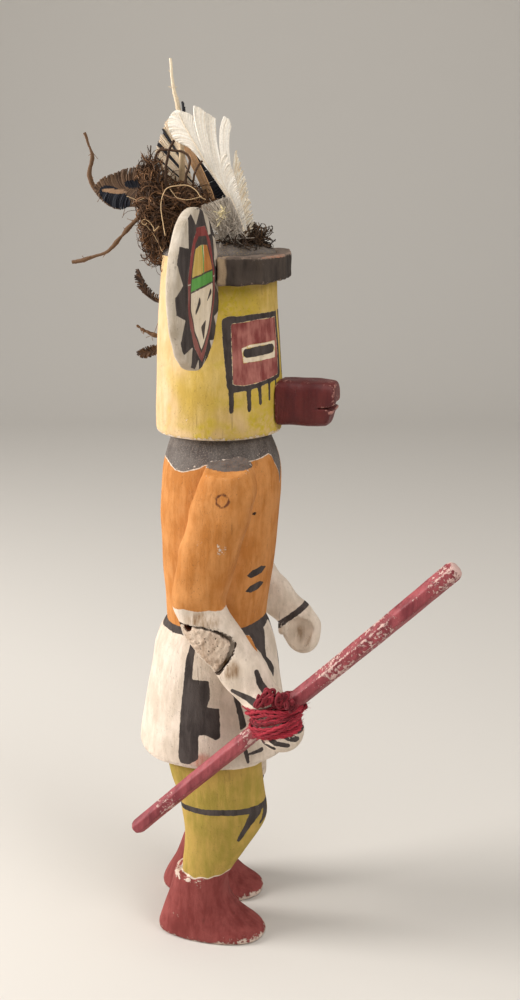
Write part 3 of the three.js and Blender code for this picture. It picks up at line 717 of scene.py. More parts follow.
def disc_paint(x, y, z):
    """The sun face, laid out in shares of the disc's radius."""
    u, v = (x - DISC[0]) / DISC_R, (z - DISC[2]) / DISC_R
    teeth = most(*(inside(u, v, tooth) for tooth in DISC_TEETH))
    ring_out = inside(u, v, [
        (-0.2, 0.64), (0.0, 0.76), (0.3, 0.76), (0.56, 0.56), (0.76, 0.2), (0.78, -0.08), (0.62, -0.44),
        (0.38, -0.72), (0.1, -0.92), (-0.22, -0.7), (-0.43, -0.42), (-0.5, -0.14), (-0.48, 0.1), (-0.37, 0.4),
    ])
    face = inside(u, v, [
        (-0.12, 0.56), (0.02, 0.63), (0.34, 0.62), (0.45, 0.5), (0.66, 0.22), (0.68, -0.05), (0.56, -0.36),
        (0.36, -0.6), (0.09, -0.78), (-0.22, -0.5), (-0.37, -0.22), (-0.38, 0.02), (-0.29, 0.28),
    ])
    band = np.minimum(ring_out, -face)  # between the face and the black rim
    brow = v - 0.09 - 0.03 * u
    upper = np.minimum(face, brow)
    hair = v - 0.535 + 0.35 * (u - 0.16) ** 2
    forehead = np.minimum(upper, -hair)
    split = np.abs(u - 0.19 - 0.16 * (0.5 - v)) - 0.022
    features = most(
        stroke(u, v, [(-0.15, -0.26), (0.03, -0.15)], [0.03, 0.05]),
        stroke(u, v, [(0.4, -0.17), (0.57, -0.08)], [0.012, 0.035]),
        inside(u, v, [(0.07, -0.47), (0.33, -0.41), (0.2, -0.66)]))
    red_patch = inside(u, v, [(-0.08, 0.63), (-0.08, 0.76), (0.27, 0.76), (0.36, 0.63), (0.14, 0.7)])
    layers = {
        "black": least(0.985 - np.hypot(u, v), -ring_out, -teeth),
        "red": np.maximum(band, red_patch),
        "dull": band,
        "bare": face,
        "yellow": np.minimum(forehead, split),
        "orange": np.minimum(forehead, split),
        "green": np.maximum(np.minimum(face, 0.075 - np.abs(brow)), np.minimum(forehead, -split)),
        "grey": most(features, np.minimum(upper, hair), 0.018 - np.abs(face),
                     np.minimum(face, 0.012 - np.abs(np.abs(brow) - 0.08))),
    }
    upper_half, left_half = v > 0.1, u < 0.24
    limits = {"red": upper_half, "dull": ~upper_half, "yellow": left_half, "orange": ~left_half}
    front = y < DISC[1] - DISC_HALF + 0.5
    return {key: DISC_R * layer + only(front) + only(limits.get(key, True)) for key, layer in layers.items()}


def no_paint(x, y, z):
    """For a piece with one colour all over."""
    return {}


def snout_paint(x, y, z):
    """Rubbed along the top edge, at the tip and round the mouth."""
    top = np.clip((z - 203.6) / 1.5, 0, 1) * (0.55 + 0.3 * np.sin(y * 0.9))
    tip = np.clip((-y - 40.6) / 1.2, 0, 1) * 0.75
    return {"worn": np.maximum(top, tip)}


# ---- shader tools


def tone(colour):
    """A colour given as it looks on paper, 0 to 255, in the shader's own linear values."""
    levels = [level / 255 for level in colour]
    return (*(v / 12.92 if v <= 0.04045 else ((v + 0.055) / 1.055) ** 2.4 for v in levels), 1.0)


class Finish:
    """A material, with short ways to add the nodes that these finishes share."""

    def __init__(self, name):
        self.material = bpy.data.materials.new(name)
        self.material.use_nodes = True
        self.tree = self.material.node_tree
        self.shader = self.tree.nodes["Principled BSDF"]
        self.place = self.tree.nodes.new("ShaderNodeTexCoord").outputs["Object"]

    def put(self, socket, value):
        if isinstance(value, bpy.types.NodeSocket):
            self.tree.links.new(value, socket)
        else:
            socket.default_value = value

    def add(self, kind, inputs, **settings):
        """A node of a kind, with its settings and its inputs, each a plain value or another's output."""
        node = self.tree.nodes.new("ShaderNode" + kind)
        for key, value in settings.items():
            setattr(node, key, value)
        for key, value in inputs.items():
            self.put(node.inputs[key], value)
        return node.outputs

    def math(self, action, *values):
        return self.add("Math", dict(enumerate(values)), operation=action)[0]

    def times(self, a, b):
        return self.math("MULTIPLY", a, b)

    def scaled(self, value, by, plus):
        return self.math("MULTIPLY_ADD", value, by, plus)

    def noise(self, across_mm, detail, rough=0.55, stretch=None):
        place = self.place
        if stretch:
            place = self.add("Mapping", {"Vector": place, "Scale": stretch})[0]
        inputs = {"Scale": 1 / (across_mm * MM), "Detail": detail, "Roughness": rough, "Vector": place}
        return self.add("TexNoise", inputs)[0]

    def step(self, value, low, high):
        inputs = {"Value": value, "From Min": low, "From Max": high}
        return self.add("MapRange", inputs, interpolation_type="SMOOTHSTEP")["Result"]

    def mix(self, share, a, b, way="MIX"):
        return self.add("Mix", {"Factor": share, 6: a, 7: b}, data_type="RGBA", blend_type=way)[2]

    def grey(self, value):
        return self.add("CombineColor", {0: value, 1: value, 2: value})[0]

    def value(self, name):
        return self.add("Attribute", {}, attribute_name=name)["Fac"]

    def bump(self, height, depth_mm, **below):
        return self.add("Bump", {"Distance": depth_mm * MM, "Height": height, **below})[0]

    def done(self, colour, rough, specular=0.25, **more):
        inputs = {"Base Color": colour, "Roughness": rough, "Specular IOR Level": specular, **more}
        for key, value in inputs.items():
            self.put(self.shader.inputs[key], value)
        return self.material


GESSO = (228, 212, 196)
# dark brown for grime in cracks and pits, and for the painted shade in grooves
GRIME_AND_SHADE = tone((74, 56, 40))
PAINTS = {
    "yellow": ((212, 182, 108), (194, 162, 76)),
    # a paler yellow for the painted highlight on the mask's lit back
    "painted_highlight_yellow": ((224, 192, 150), (208, 176, 128)),
    "lemon": ((194, 170, 38), (200, 172, 70)),
    "ochre": ((186, 154, 80), (160, 140, 62)),
    "orange": ((204, 140, 80), (182, 116, 54)),
    "red": ((150, 76, 72), (124, 54, 51)),
    "rosy": ((180, 116, 106), (124, 56, 54)),
    "black": ((56, 49, 47), (80, 72, 69)),
    # black painted lighter, for the painted sheen on the neck, shoulders and crown
    "black_with_painted_sheen": ((82, 74, 71), (108, 101, 97)),
    "green": ((104, 168, 84), (84, 146, 66)),
    "grey": ((84, 74, 68), (66, 58, 54)),
    "weathered": ((124, 108, 96), (98, 85, 76)),
    "bare": ((238, 222, 198), (220, 202, 174)),
    "dull": ((152, 98, 90), (128, 66, 62)),
    "tan": ((170, 148, 120), (140, 118, 94)),
    "rubbed": ((190, 132, 104), (170, 120, 96)),
    # real stains, and the painted shade in the left palm's hollow
    "stain_and_shade": ((150, 112, 66), (120, 86, 48)),
    "ring": ((112, 62, 38), (84, 46, 30)),
    "pink": ((196, 120, 104), (206, 150, 130)),
    "pit": ((42, 30, 22), (60, 44, 32)),
}
SOFT_EDGED = {"stain_and_shade": 1.4, "pink": 1.2, "painted_highlight_yellow": 2.6, "lemon": 2.0, "tan": 0.5, "ring": 0.25}


def painted(name, layers, base=(GESSO, (206, 190, 172)), ragged=0.35, wear=1.0, rough=0.78,
            under=GESSO, shine=0.22, pores=0.34):
    """Mineral paints over gesso, each in its own outline, worn on the edges and darkened in the grooves as a
    painted shade.
    """
    f = Finish(name)
    wide, fine, grain = f.noise(11, 3), f.noise(1.6, 4), f.noise(0.45, 2)
    brushed = f.noise(2.6, 4, 0.65, (1.0, 1.0, 0.2))
    blend = f.step(f.scaled(wide, 0.5, f.times(brushed, 0.5)), 0.38, 0.62)
    colour = f.mix(blend, *map(tone, base))
    brush = f.scaled(fine, 2 * ragged, -ragged)
    for layer in layers:
        blur = SOFT_EDGED.get(layer, 0.09)
        share = f.step(f.math("ADD", f.value(layer), brush), -blur, blur)
        if layer in ("stain_and_shade", "pink"):
            share = f.times(share, f.step(brushed, 0.25, 0.7))
        if layer == "lemon":
            share = f.times(share, f.scaled(f.step(fine, 0.3, 0.65), 0.6, 0.34))
        # the painted sheen's lighter black, broken up by the grain
        if layer == "black_with_painted_sheen":
            share = f.times(share, f.scaled(f.step(grain, 0.45, 0.8), -0.25, 1.0))
        colour = f.mix(share, colour, f.mix(blend, *map(tone, PAINTS[layer])))
    edge = f.value("edge")
    chip = f.scaled(edge, 5.0 * wear, f.noise(1.3, 5, 0.7))
    chip = f.step(f.scaled(f.value("worn"), 0.2, chip), 0.74, 0.79)
    colour = f.mix(f.times(chip, 0.8), colour, tone(under))
    crack = f.step(f.noise(1.5, 3, 0.5, (1.0, 1.0, 0.06)), 0.68, 0.73)
    colour = f.mix(f.times(crack, 0.22), colour, GRIME_AND_SHADE)
    # darker where the surface sinks into grooves and creases: painted shade
    groove_shade = f.scaled(edge, -3.2, f.noise(2.4, 5, 0.65))
    colour = f.mix(f.times(f.step(groove_shade, 0.6, 0.95), 0.5), colour, GRIME_AND_SHADE)
    colour = f.mix(1.0, colour, f.grey(f.scaled(f.noise(4, 6, 0.7), 0.34, 0.84)), "MULTIPLY")
    speck = f.step(f.noise(0.62, 3, 0.65), 0.6, 0.69)
    speck = f.times(speck, f.step(f.noise(7, 3), 0.35, 0.65))
    colour = f.mix(f.times(speck, pores), colour, GRIME_AND_SHADE)
    height = f.scaled(chip, -0.6, f.noise(0.8, 4, 0.65))
    height = f.scaled(crack, -0.7, f.scaled(speck, -0.5, height))
    normal = f.bump(height, 0.16, Normal=f.bump(brushed, 0.3))
    return f.done(colour, f.scaled(grain, 0.2, rough - 0.1), shine, Normal=normal)


def strand_finish(name, rough, dark, light, zone=None, sheen=0.0):
    """Fibres, barbs and yarn: each strand its own shade, with the zone's colour where its value is high."""
    f = Finish(name)
    colour = f.mix(f.value("tint"), tone(dark), tone(light))
    if zone:
        colour = f.mix(f.step(f.value("zone"), 0.4, 0.6), colour, tone(zone))
    colour = f.mix(1.0, colour, f.grey(f.scaled(f.noise(0.6, 3), 0.5, 0.75)), "MULTIPLY")
    return f.done(colour, rough, 0.3, **{"Sheen Weight": sheen})


# ---- strands


def strand_tree():
    """Lines become round strands: each point's thick value is the strand's radius there."""
    tree = bpy.data.node_groups.new("strands", "GeometryNodeTree")
    for name, way, kind in (("Lines", "INPUT", "Geometry"), ("Sides", "INPUT", "Int"),
                            ("Material", "INPUT", "Material"), ("Strands", "OUTPUT", "Geometry")):
        tree.interface.new_socket(name, in_out=way, socket_type="NodeSocket" + kind)
    start, end, curve, thick, radius, ring, sweep, real, dress = (tree.nodes.new(kind) for kind in (
        "NodeGroupInput", "NodeGroupOutput", "GeometryNodeMeshToCurve", "GeometryNodeInputNamedAttribute",
        "GeometryNodeSetCurveRadius", "GeometryNodeCurvePrimitiveCircle", "GeometryNodeCurveToMesh",
        "GeometryNodeRealizeInstances", "GeometryNodeSetMaterial",
    ))
    thick.data_type = "FLOAT"
    thick.inputs["Name"].default_value = "thick"
    ring.inputs["Radius"].default_value = 1.0
    sweep.inputs["Fill Caps"].default_value = True
    for source, target in (
        (start.outputs["Lines"], curve.inputs[0]),
        (curve.outputs[0], radius.inputs["Curve"]),
        (thick.outputs["Attribute"], radius.inputs["Radius"]),
        (radius.outputs[0], sweep.inputs["Curve"]),
        (thick.outputs["Attribute"], sweep.inputs["Scale"]),
        (start.outputs["Sides"], ring.inputs["Resolution"]),
        (ring.outputs[0], sweep.inputs["Profile Curve"]),
        (sweep.outputs[0], real.inputs[0]),
        (real.outputs[0], dress.inputs["Geometry"]),
        (start.outputs["Material"], dress.inputs["Material"]),
        (dress.outputs[0], end.inputs[0]),
    ):
        tree.links.new(source, target)
    return tree


STRANDS = strand_tree()


class Bundle:
    """The strands of one piece: lines, each with its thickness, its shade and its zone."""

    def __init__(self):
        self.lines = []
        self.values = {"thick": [], "tint": [], "zone": []}

    def add(self, lines, thick, tint, zone=0.0):
        """Adds lines. The rest are a list with one for each line, or one for all of them."""
        self.lines += lines
        for kept, new in zip(self.values.values(), (thick, tint, zone)):
            kept += new if isinstance(new, list) else [new] * len(lines)


def spun(name, bundle, sides, material, node):
    """A piece made of strands, with the given number of sides."""
    counts = [len(line) for line in bundle.lines]
    first = np.cumsum([0] + counts[:-1])
    edges = [np.stack([np.arange(n - 1), np.arange(1, n)], 1) + s for n, s in zip(counts, first)]
    mesh = bpy.data.meshes.new(name + "_lines")
    points = (np.concatenate(bundle.lines) + DOLL) * MM
    mesh.from_pydata(points.tolist(), np.concatenate(edges).tolist(), [])
    flat = {key: np.concatenate([np.broadcast_to(value, n) for value, n in zip(row, counts)])
            for key, row in bundle.values.items()}
    flat["thick"] = flat["thick"] * MM
    add_values(mesh, flat)
    guide = bpy.data.objects.new(name + "_guide", mesh)
    bpy.context.scene.collection.objects.link(guide)
    modifier = guide.modifiers.new("strands", "NODES")
    modifier.node_group = STRANDS
    inputs = {"Sides": sides, "Material": material}
    for item in STRANDS.interface.items_tree:
        if item.item_type == "SOCKET" and item.in_out == "INPUT" and item.name in inputs:
            modifier[item.identifier] = inputs[item.name]
    ready = guide.evaluated_get(bpy.context.evaluated_depsgraph_get())
    result = bpy.data.meshes.new_from_object(ready)
    bpy.data.objects.remove(guide)
    result.name = name
    settle(name, result, material, node)


def smooth_line(points, count):
    """A smooth line through points, as count points spaced evenly along it."""
    p = np.array(points, float)
    far = np.concatenate([[0], np.cumsum(np.linalg.norm(np.diff(p, axis=0), axis=1))])
    ends = np.vstack([2 * p[0] - p[1], p, 2 * p[-1] - p[-2]])
    t = np.linspace(0, far[-1], count)
    i = np.clip(np.searchsorted(far, t, side="right") - 1, 0, len(p) - 2)
    s = ((t - far[i]) / (far[i + 1] - far[i]))[:, None]
    a, b, c, d = (ends[i + k] for k in range(4))
    return 0.5 * (2 * b + (c - a) * s + (2 * a - 5 * b + 4 * c - d) * s**2 + (3 * b - a - 3 * c + d) * s**3)


def fan(shaft, edge, count, rng, lean, ragged, thick, depth, points=8, start=0.0):
    """Barbs from a shaft to the outer edge of a vane, both given as lines from the root to the tip."""
    inner, outer = smooth_line(shaft, 200), smooth_line(edge, 200)
    way = np.gradient(inner, axis=0)
    way /= np.linalg.norm(way, axis=1)[:, None]
    s = np.linspace(0, 1, points)[:, None]
    places = np.linspace(start, 1.0, count)
    lines = []
    for t in places:
        k = int(np.clip(t + rng.normal(0, 0.4 / count), 0, 1) * 199)
        a = inner[k]
        b = a + (outer[k] - a) * (1 - ragged * rng.random() ** 2)
        bend = (a + b) / 2 + way[k] * np.linalg.norm(b - a) * lean
        line = a * (1 - s) ** 2 + 2 * bend * s * (1 - s) + b * s**2
        line[:, 0] += rng.normal(0, depth) * s[:, 0]
        lines.append(line)
    return lines, [thick * np.clip(1.15 - 0.4 * s[:, 0], 0, 1)] * count, list(places)


def shades(lines, mean, spread, rng):
    """One random shade for each line."""
    return [np.clip(rng.normal(mean, spread), 0, 1) for _ in lines]


# ---- building the doll

body_finish = painted("painted_wood", ["yellow", "painted_highlight_yellow", "lemon", "ochre", "orange", "bare", "red", "rosy",
                                       "pink", "black_with_painted_sheen", "black", "pit"])
arm_finish = painted("arm_paint", ["orange", "stain_and_shade", "black_with_painted_sheen", "black", "ring", "pit"], wear=0.8)
filler_finish = painted("filler", ["stain_and_shade", "pit"], base=((218, 198, 178), (180, 156, 136)), wear=0.3,
                        rough=0.9, pores=0.85)
red_wood = painted("snout_red", [], base=((104, 38, 36), (84, 26, 28)), wear=1.0, rough=0.5,
                   under=(190, 134, 122), shine=0.4)
black_wood = painted("visor_black", ["weathered", "tan", "rubbed"], base=((51, 44, 40), (78, 68, 61)),
                     wear=1.0, under=(150, 130, 116), pores=0.6)
disc_finish = painted("disc_paint", ["black", "red", "dull", "bare", "yellow", "orange", "green", "grey"],
                      base=((208, 196, 180), (184, 170, 150)), ragged=0.22, wear=0.5)

carved("carved_body_surface", body_form, (-29.5, -27, -1.2), (29.5, 31, 253.6), 0.74,
       body_paint, body_finish, "carved_body")
carved("right_arm_surface", right_arm_form, (-44, -41, 83), (-15, 13, 184), 0.56,
       right_arm_paint, arm_finish, "right_arm")
carved("left_arm_surface", left_arm_form, (15, -36, 92), (38, 14, 184), 0.6,
       left_arm_paint, arm_finish, "left_arm")
carved("elbow_repair", filler_form, (-38.5, -17, 107), (-31.6, 8, 129), 0.36,
       filler_paint, filler_finish, "elbow_filler")
carved("snout_block", snout_form, (-8.6, -43.6, 188.4), (8.6, -17, 207), 0.42,
       snout_paint, red_wood, "snout")
carved("visor_block", visor_form, (-25.4, -26.6, 236.6), (25.4, -5.6, 248.4), 0.5,
       visor_paint, black_wood, "visor")
carved("ear_disc_board", disc_form, (-68.6, -7.4, 213.4), (-17.6, -2.4, 264.6), 0.46,
       disc_paint, disc_finish, "right_ear_disc")


def peg_form(x, y, z):
    out = np.hypot(y - PEG[0], z - PEG[1]) - 1.9
    return both(both(out, arm_whole(x, y, z, -1) + 0.05, 0.3), x + 29)


carved("shoulder_peg_end", peg_form, (-36, -14, 167), (-27.8, -7.6, 174.2), 0.3,
       no_paint, painted("peg_paint", [], base=PAINTS["orange"], wear=0.9), "shoulder_peg")


# ---- the staff

STAFF_WORN = [(-48, 6), (-62, 9), (-83, 6), (-20, 4), (9, 4)]  # where its paint has flaked: y and reach
STAFF_SIDES, ACROSS_SIDE = 6, 8  # its sides, and the points across each


def staff_ring(t, length, middle, up):
    """The points round the staff at a share t of its length, with how proud and how worn each is."""
    radius = STAFF_LOW_R + (STAFF_HIGH_R - STAFF_LOW_R) * t
    near_end = min(t, 1 - t) * length
    radius *= min(1.0, 0.66 + 0.34 * (near_end / 1.6) ** 0.6)
    worn = sum(1.1 * math.exp(-((middle[1] - spot) / reach) ** 2) for spot, reach in STAFF_WORN)
    points, edge = [], []
    for side in range(STAFF_SIDES):
        turns = ((side + k) * math.pi / 3 + math.pi / 6 for k in (0, 1))
        p0, p1 = (np.array([math.cos(a), math.sin(a)]) for a in turns)
        swell = radius * (1 + 0.012 * math.sin(t * 60 + side * 2))
        for k in range(ACROSS_SIDE):
            s = k / ACROSS_SIDE
            corner = min(s, 1 - s)
            q = (p0 * (1 - s) + p1 * s) * (1 - 0.045 * max(0.0, 1 - corner / 0.12)) * swell
            points.append(middle + ACROSS * q[0] + up * q[1])
            edge.append(0.02 * max(0.0, 1 - corner / 0.16) + 0.05 * max(0.0, 1 - near_end / 1.5))
    return points, edge, [worn] * len(points)


def staff_piece():
    """The six-sided stick, a little crooked, with rounded ends."""
    start, stop = (np.array([STAFF_X, *p]) for p in (STAFF_LOW, STAFF_HIGH))
    length = np.linalg.norm(stop - start)
    way = (stop - start) / length
    up = np.cross(way, ACROSS)
    end = np.array([0, 0.25, 0.8])
    shares = np.concatenate([end, np.linspace(2, length - 2, 150), (length - end)[::-1]]) / length
    points, edge, worn = [], [], []
    for t in shares:
        middle = start + way * t * length + ACROSS * 0.25 * math.sin(t * 7) + up * 0.3 * math.sin(t * 5 + 1)
        for kept, new in zip((points, edge, worn), staff_ring(t, length, middle, up)):
            kept += new
    n = ACROSS_SIDE * STAFF_SIDES
    faces = [(i + j, i + (j + 1) % n, i + n + (j + 1) % n, i + n + j)
             for i in range(0, n * (len(shares) - 1), n) for j in range(n)]
    faces.append(tuple(range(n))[::-1])
    faces.append(tuple(range(len(points) - n, len(points))))
    finish = painted("stick_red", [], base=((160, 74, 80), (118, 42, 50)), rough=0.5,
                     under=(222, 190, 180), shine=0.4)
    piece("staff_stick", points, faces, finish, "staff", {"edge": edge, "worn": worn})


staff_piece()


# ---- the yarn

YARN_TURNS = [  # height along the forearm, tilt, lean of the tilt, how far it stands proud
    *((-7.4 + 1.05 * k, 0.7 + 0.25 * (k % 3), 0.2 + 0.25 * k, 0.5 + 0.3 * (k % 2)) for k in range(11)),
    (-3.0, 2.6, 2.4, 1.3), (0.4, -2.6, 2.2, 1.4), (2.4, 2.2, 0.4, 1.1),
    (-5.0, -1.8, 1.0, 1.2), (-1.4, 0.6, 0.0, 1.1), (-3.6, 0.4, 1.5, 1.0),
]
YARN_LOOPS = [  # frayed loops on top of the wrap and the dark knot at its front: middle, size, count, shade
    ((-39.0, -27.6, 106.6), 3.0, 9, 0.3), ((-39.4, -25.0, 105.0), 2.4, 6, 0.25),
    ((-39.4, -31.0, 106.4), 2.8, 9, 0.2), ((-39.8, -35.0, 104.6), 1.7, 9, 0.05),
]
PLY_R, PLY_OFF, TWIST = 0.4, 0.24, 5.2  # one ply's radius, its distance from the middle, mm for one twist


def unit(rows):
    """Rows brought to length one."""
    return rows / np.linalg.norm(rows, axis=-1, keepdims=True)


def yarn_turn(height, tilt, lean, proud):
    """One turn round the hand and the stick, pulled tight over both: its middle and its points."""
    normal = np.array(WRAP_NORMAL)
    front = np.cross(normal, ACROSS)
    angles = np.linspace(0, 2 * np.pi, 181)
    middle = np.array(WRAP) + np.array(WRAP_ALONG) * height

    def ring(radii):
        flat = np.outer(np.cos(angles) * radii, ACROSS) + np.outer(np.sin(angles) * radii, front)
        return middle + flat + np.outer(tilt * np.sin(angles + lean), normal)

    radii = np.full(len(angles), 3.0)
    for r in np.arange(10.2, 3, -0.2):
        around = ring(r).T
        touches = np.minimum(arm_whole(*around, -1) + WRAP_DEPTH, staff_distance(*around)) < proud
        radii = np.where(touches & (radii < r), r, radii)
    turn = np.cos(angles[:, None] - angles[None])
    support = (radii[:, None] * turn).max(0)
    wide = np.where(turn > 0.2, support[None] / np.maximum(turn, 0.2), 1e9)
    return middle, ring(wide.min(1))


def yarn_piece():
    rng = np.random.default_rng(12)
    bundle = Bundle()
    for middle, turn in [yarn_turn(*row) for row in YARN_TURNS]:
        path = smooth_line(turn, 220)
        path = np.vstack([path, path[:2]])
        way = unit(np.gradient(path, axis=0))
        out = path - middle
        out = unit(out - (out * way).sum(1)[:, None] * way)
        flat = np.cross(way, out)
        path = path + out * (0.15 * np.sin(np.linspace(0, 19, len(path)) + rng.uniform(0, 6)))[:, None]
        spin = np.cumsum(np.linalg.norm(np.gradient(path, axis=0), axis=1))[:, None] * 2 * np.pi / TWIST
        shade = rng.uniform(0.15, 0.85)
        for ply in (0, np.pi):
            line = path + PLY_OFF * (np.cos(spin + ply) * out + np.sin(spin + ply) * flat)
            bundle.add([line], PLY_R, np.clip(shade + rng.normal(0, 0.08), 0, 1))
        s = np.linspace(0, 1, 5)[:, None]
        for _ in range(50):  # stray fibres
            at = rng.integers(0, len(path))
            stray = way[at] * rng.normal(0, 1.4) + out[at] * rng.uniform(0.1, 0.6)
            line = path[at] + out[at] * 0.4 + stray * s + rng.normal(0, 0.35, 3) * s**2
            bundle.add([line], 0.04, rng.uniform(0.5, 1))
    for place, size, count, shade in YARN_LOOPS:
        for _ in range(count):
            a = np.linspace(0.3, 0.3 + rng.uniform(3.8, 6.0), 26) + rng.uniform(0, 6)
            u = unit(np.array([rng.normal(0, 0.25), rng.normal(-0.5, 0.4), rng.normal(1, 0.3)]))
            v = unit(np.cross(u, np.array([1.0, rng.normal(0, 0.3), rng.normal(0, 0.3)])))
            big = size * rng.uniform(0.6, 1.0)
            loop = np.outer(np.cos(a) * big, u) + np.outer(np.sin(a) * big * rng.uniform(0.2, 0.42), v)
            line = np.array(place) + rng.normal(0, 0.7, 3) + loop
            bundle.add([line], 0.5, np.clip(rng.normal(shade, 0.12), 0, 1))
    finish = strand_finish("red_yarn", 0.8, (96, 18, 28), (196, 52, 70), sheen=0.08)
    spun("yarn_turns", bundle, 6, finish, "yarn_lashing")


yarn_piece()


# ---- fibres on the crown

HAIR_SECTIONS = [  # height, middle in y, half depth, half width
    (245, 18.2, 1.8, 4.6), (248, 17.0, 3.6, 8), (253, 14.6, 7.0, 11), (259, 13.0, 9.2, 11.6),
    (264, 12.6, 9.6, 10.5), (267, 14.6, 7.8, 8.6), (270, 20.0, 3.2, 5), (274, 21.0, 2.6, 3.4),
    (278, 21.6, 1.4, 2),
]
hair_y, hair_d, hair_w = (profile(HAIR_SECTIONS, k, 0.9) for k in (1, 2, 3))


def hair_form(x, y, z):
    return both(oval(x, y - hair_y(z), hair_w(z), hair_d(z)), np.maximum(245 - z, z - 279), 1)


def tangle(count, centre, spread, flow, length, bend, form, rng):
    """Tangled fibres that start near centre, run with flow and stay about inside a form."""
    points = 9
    centre = np.array(centre)
    lines = []
    for _ in range(count):
        p = centre + rng.normal(size=3) * spread
        d = unit(np.array(flow) + rng.normal(size=3) * 0.45)
        step = rng.uniform(*length) / points
        line = [p]
        turn = rng.normal(size=3) * bend
        for _ in range(points - 1):
            turn = 0.7 * turn + rng.normal(size=3) * bend * 0.6
            d = d + turn * 0.35
            out = form(*p)
            if out > 0.4:
                d = d + unit(centre - p) * min(0.8, 0.3 * out)
            d = unit(d)
            p = p + d * step
            line.append(p)
        lines.append(smooth_line(line, points + 3))
    return lines


def tangles(rows, form, rng):
    """Tangles from rows of their first six values. Those that would enter the head lie on it."""
    out = []
    for line in [line for row in rows for line in tangle(*row, form, rng)]:
        deep = mask_form(*line.T) - 0.3
        if deep.min() >= -5:
            line[:, 2] += np.clip(-deep, 0, 3)
            out.append(line)
    return out


HAIR_TANGLES = [  # count, centre, spread, flow, length, bend
    (1000, (0, 13.6, 259.0), (5.4, 4.4, 3.6), (0.0, 0.9, 0.5), (10, 20), 0.13),
    (800, (0, 17.6, 257.0), (5.0, 2.6, 4.6), (0.0, 0.35, -0.9), (9, 18), 0.12),
    (420, (-1, 20.4, 267.0), (2.6, 1.2, 2.6), (0.0, 0.35, 0.95), (6, 12), 0.16),
    (420, (-2, 8.0, 261.6), (4.6, 3.2, 2.0), (0.0, -0.5, 0.6), (5, 10), 0.25),
]
LOOSE_ROOTS = [  # thicker roots that stand out of the bundle: points, radius, shade
    ([(-5, 14.9, 266), (-6, 14.3, 274.3), (-6, 12.8, 279.7), (-6, 11.3, 282.5)], 0.5, 0.1),
    ([(-5, 18.6, 276), (-6, 16.6, 279), (-6, 11.8, 279), (-6, 8.5, 278.6), (-6, 6.6, 276.6),
      (-6, 6.9, 273.9), (-5, 8.1, 271), (-4, 8.6, 266)], 0.48, 0.15),
    ([(-4, 2.8, 275.9), (-4, 4.8, 273.4), (-4, 5.6, 271), (-3, 6, 265)], 0.42, 0.2),
]
PALE_THREADS = [  # the pale thread that lies over it
    ([(-10.5, 13.4, 251.8), (-10, 14.7, 260), (-9, 14.1, 264.5), (-9, 12.1, 267), (-9, 6.8, 267.7),
      (-9, 3.5, 266.4), (-9, 1.6, 264.2), (-8, 0.2, 263.3)], 0.17, 1.0),
    ([(-9, 12.1, 266.3), (-10, 9.3, 263.6), (-10, 5.4, 263.2), (-9, 1.6, 264.2)], 0.12, 1.0),
    ([(-8, 16.2, 254.5), (-9, 17.6, 252.9), (-8, 18.2, 253.8), (-7, 20.1, 255.6), (-7, 21.6, 256.2),
      (-7, 22.6, 255.2), (-7, 21.6, 254.3), (-7, 20.9, 255)], 0.19, 1.0),
    ([(-6, 22, 255), (-7, 18.6, 251.5), (-8, 15.5, 246.5)], 0.13, 1.0),
    ([(-4, 28.4, 263.6), (-5, 25, 262.6), (-5, 22.4, 263.2)], 0.12, 1.0),
]
OUTWARDS = np.array([-1.0, -0.23, 0.277])  # off the bundle's right side


def hair_piece():
    rng = np.random.default_rng(21)
    bundle = Bundle()
    lines = tangles(HAIR_TANGLES, hair_form, rng)
    thick = [rng.uniform(0.06, 0.13) if rng.random() < 0.75 else rng.uniform(0.16, 0.3) for _ in lines]
    bundle.add(lines, thick, [rng.uniform(0, 1) ** 1.5 for _ in lines])
    for rows, lift, pale in ((LOOSE_ROOTS, 1.0, 0.0), (PALE_THREADS, 4.5, 1.0)):
        for path, radius, shade in rows:
            crooked = np.cumsum(rng.normal(0, 0.03, (60, 3)), axis=0)
            bundle.add([smooth_line(path, 60) + OUTWARDS * lift + crooked], radius, shade, pale)
    finish = strand_finish("brown_fibre", 0.75, (52, 36, 26), (142, 102, 68), (196, 166, 126))
    spun("hair_fibres", bundle, 3, finish, "hair_bundle")


def crown_form(x, y, z):
    return both(oval(x, y + 9.8, 12.0, 8.0), z - 254.0 + 0.02 * (x * x + (y + 9.8) ** 2), 1)


CROWN_TANGLES = [
    (620, (0, -9.8, 250.6), (5.2, 3.4, 0.7), (0.0, -0.1, 0.0), (4, 9), 0.3),
    (26, (0, -13.5, 251.5), (3.0, 1.6, 0.5), (0.0, -0.4, 1.0), (4, 8), 0.2),
]


def crown_piece():
    rng = np.random.default_rng(22)
    bundle = Bundle()
    lines = tangles(CROWN_TANGLES, crown_form, rng)
    thick = [rng.uniform(0.08, 0.24) for _ in lines]
    bundle.add(lines, thick, [rng.uniform(0, 1) ** 1.6 for _ in lines])
    finish = strand_finish("dark_fibre", 0.8, (40, 28, 20), (104, 78, 54))
    spun("crown_fibre_tuft", bundle, 3, finish, "crown_fibres")


hair_piece()
crown_piece()


# ---- feathers


def at_depth(depth, *places):
    """Points of an upright feather: (y, z) pairs at one x."""
    return [(depth, y, z) for y, z in places]


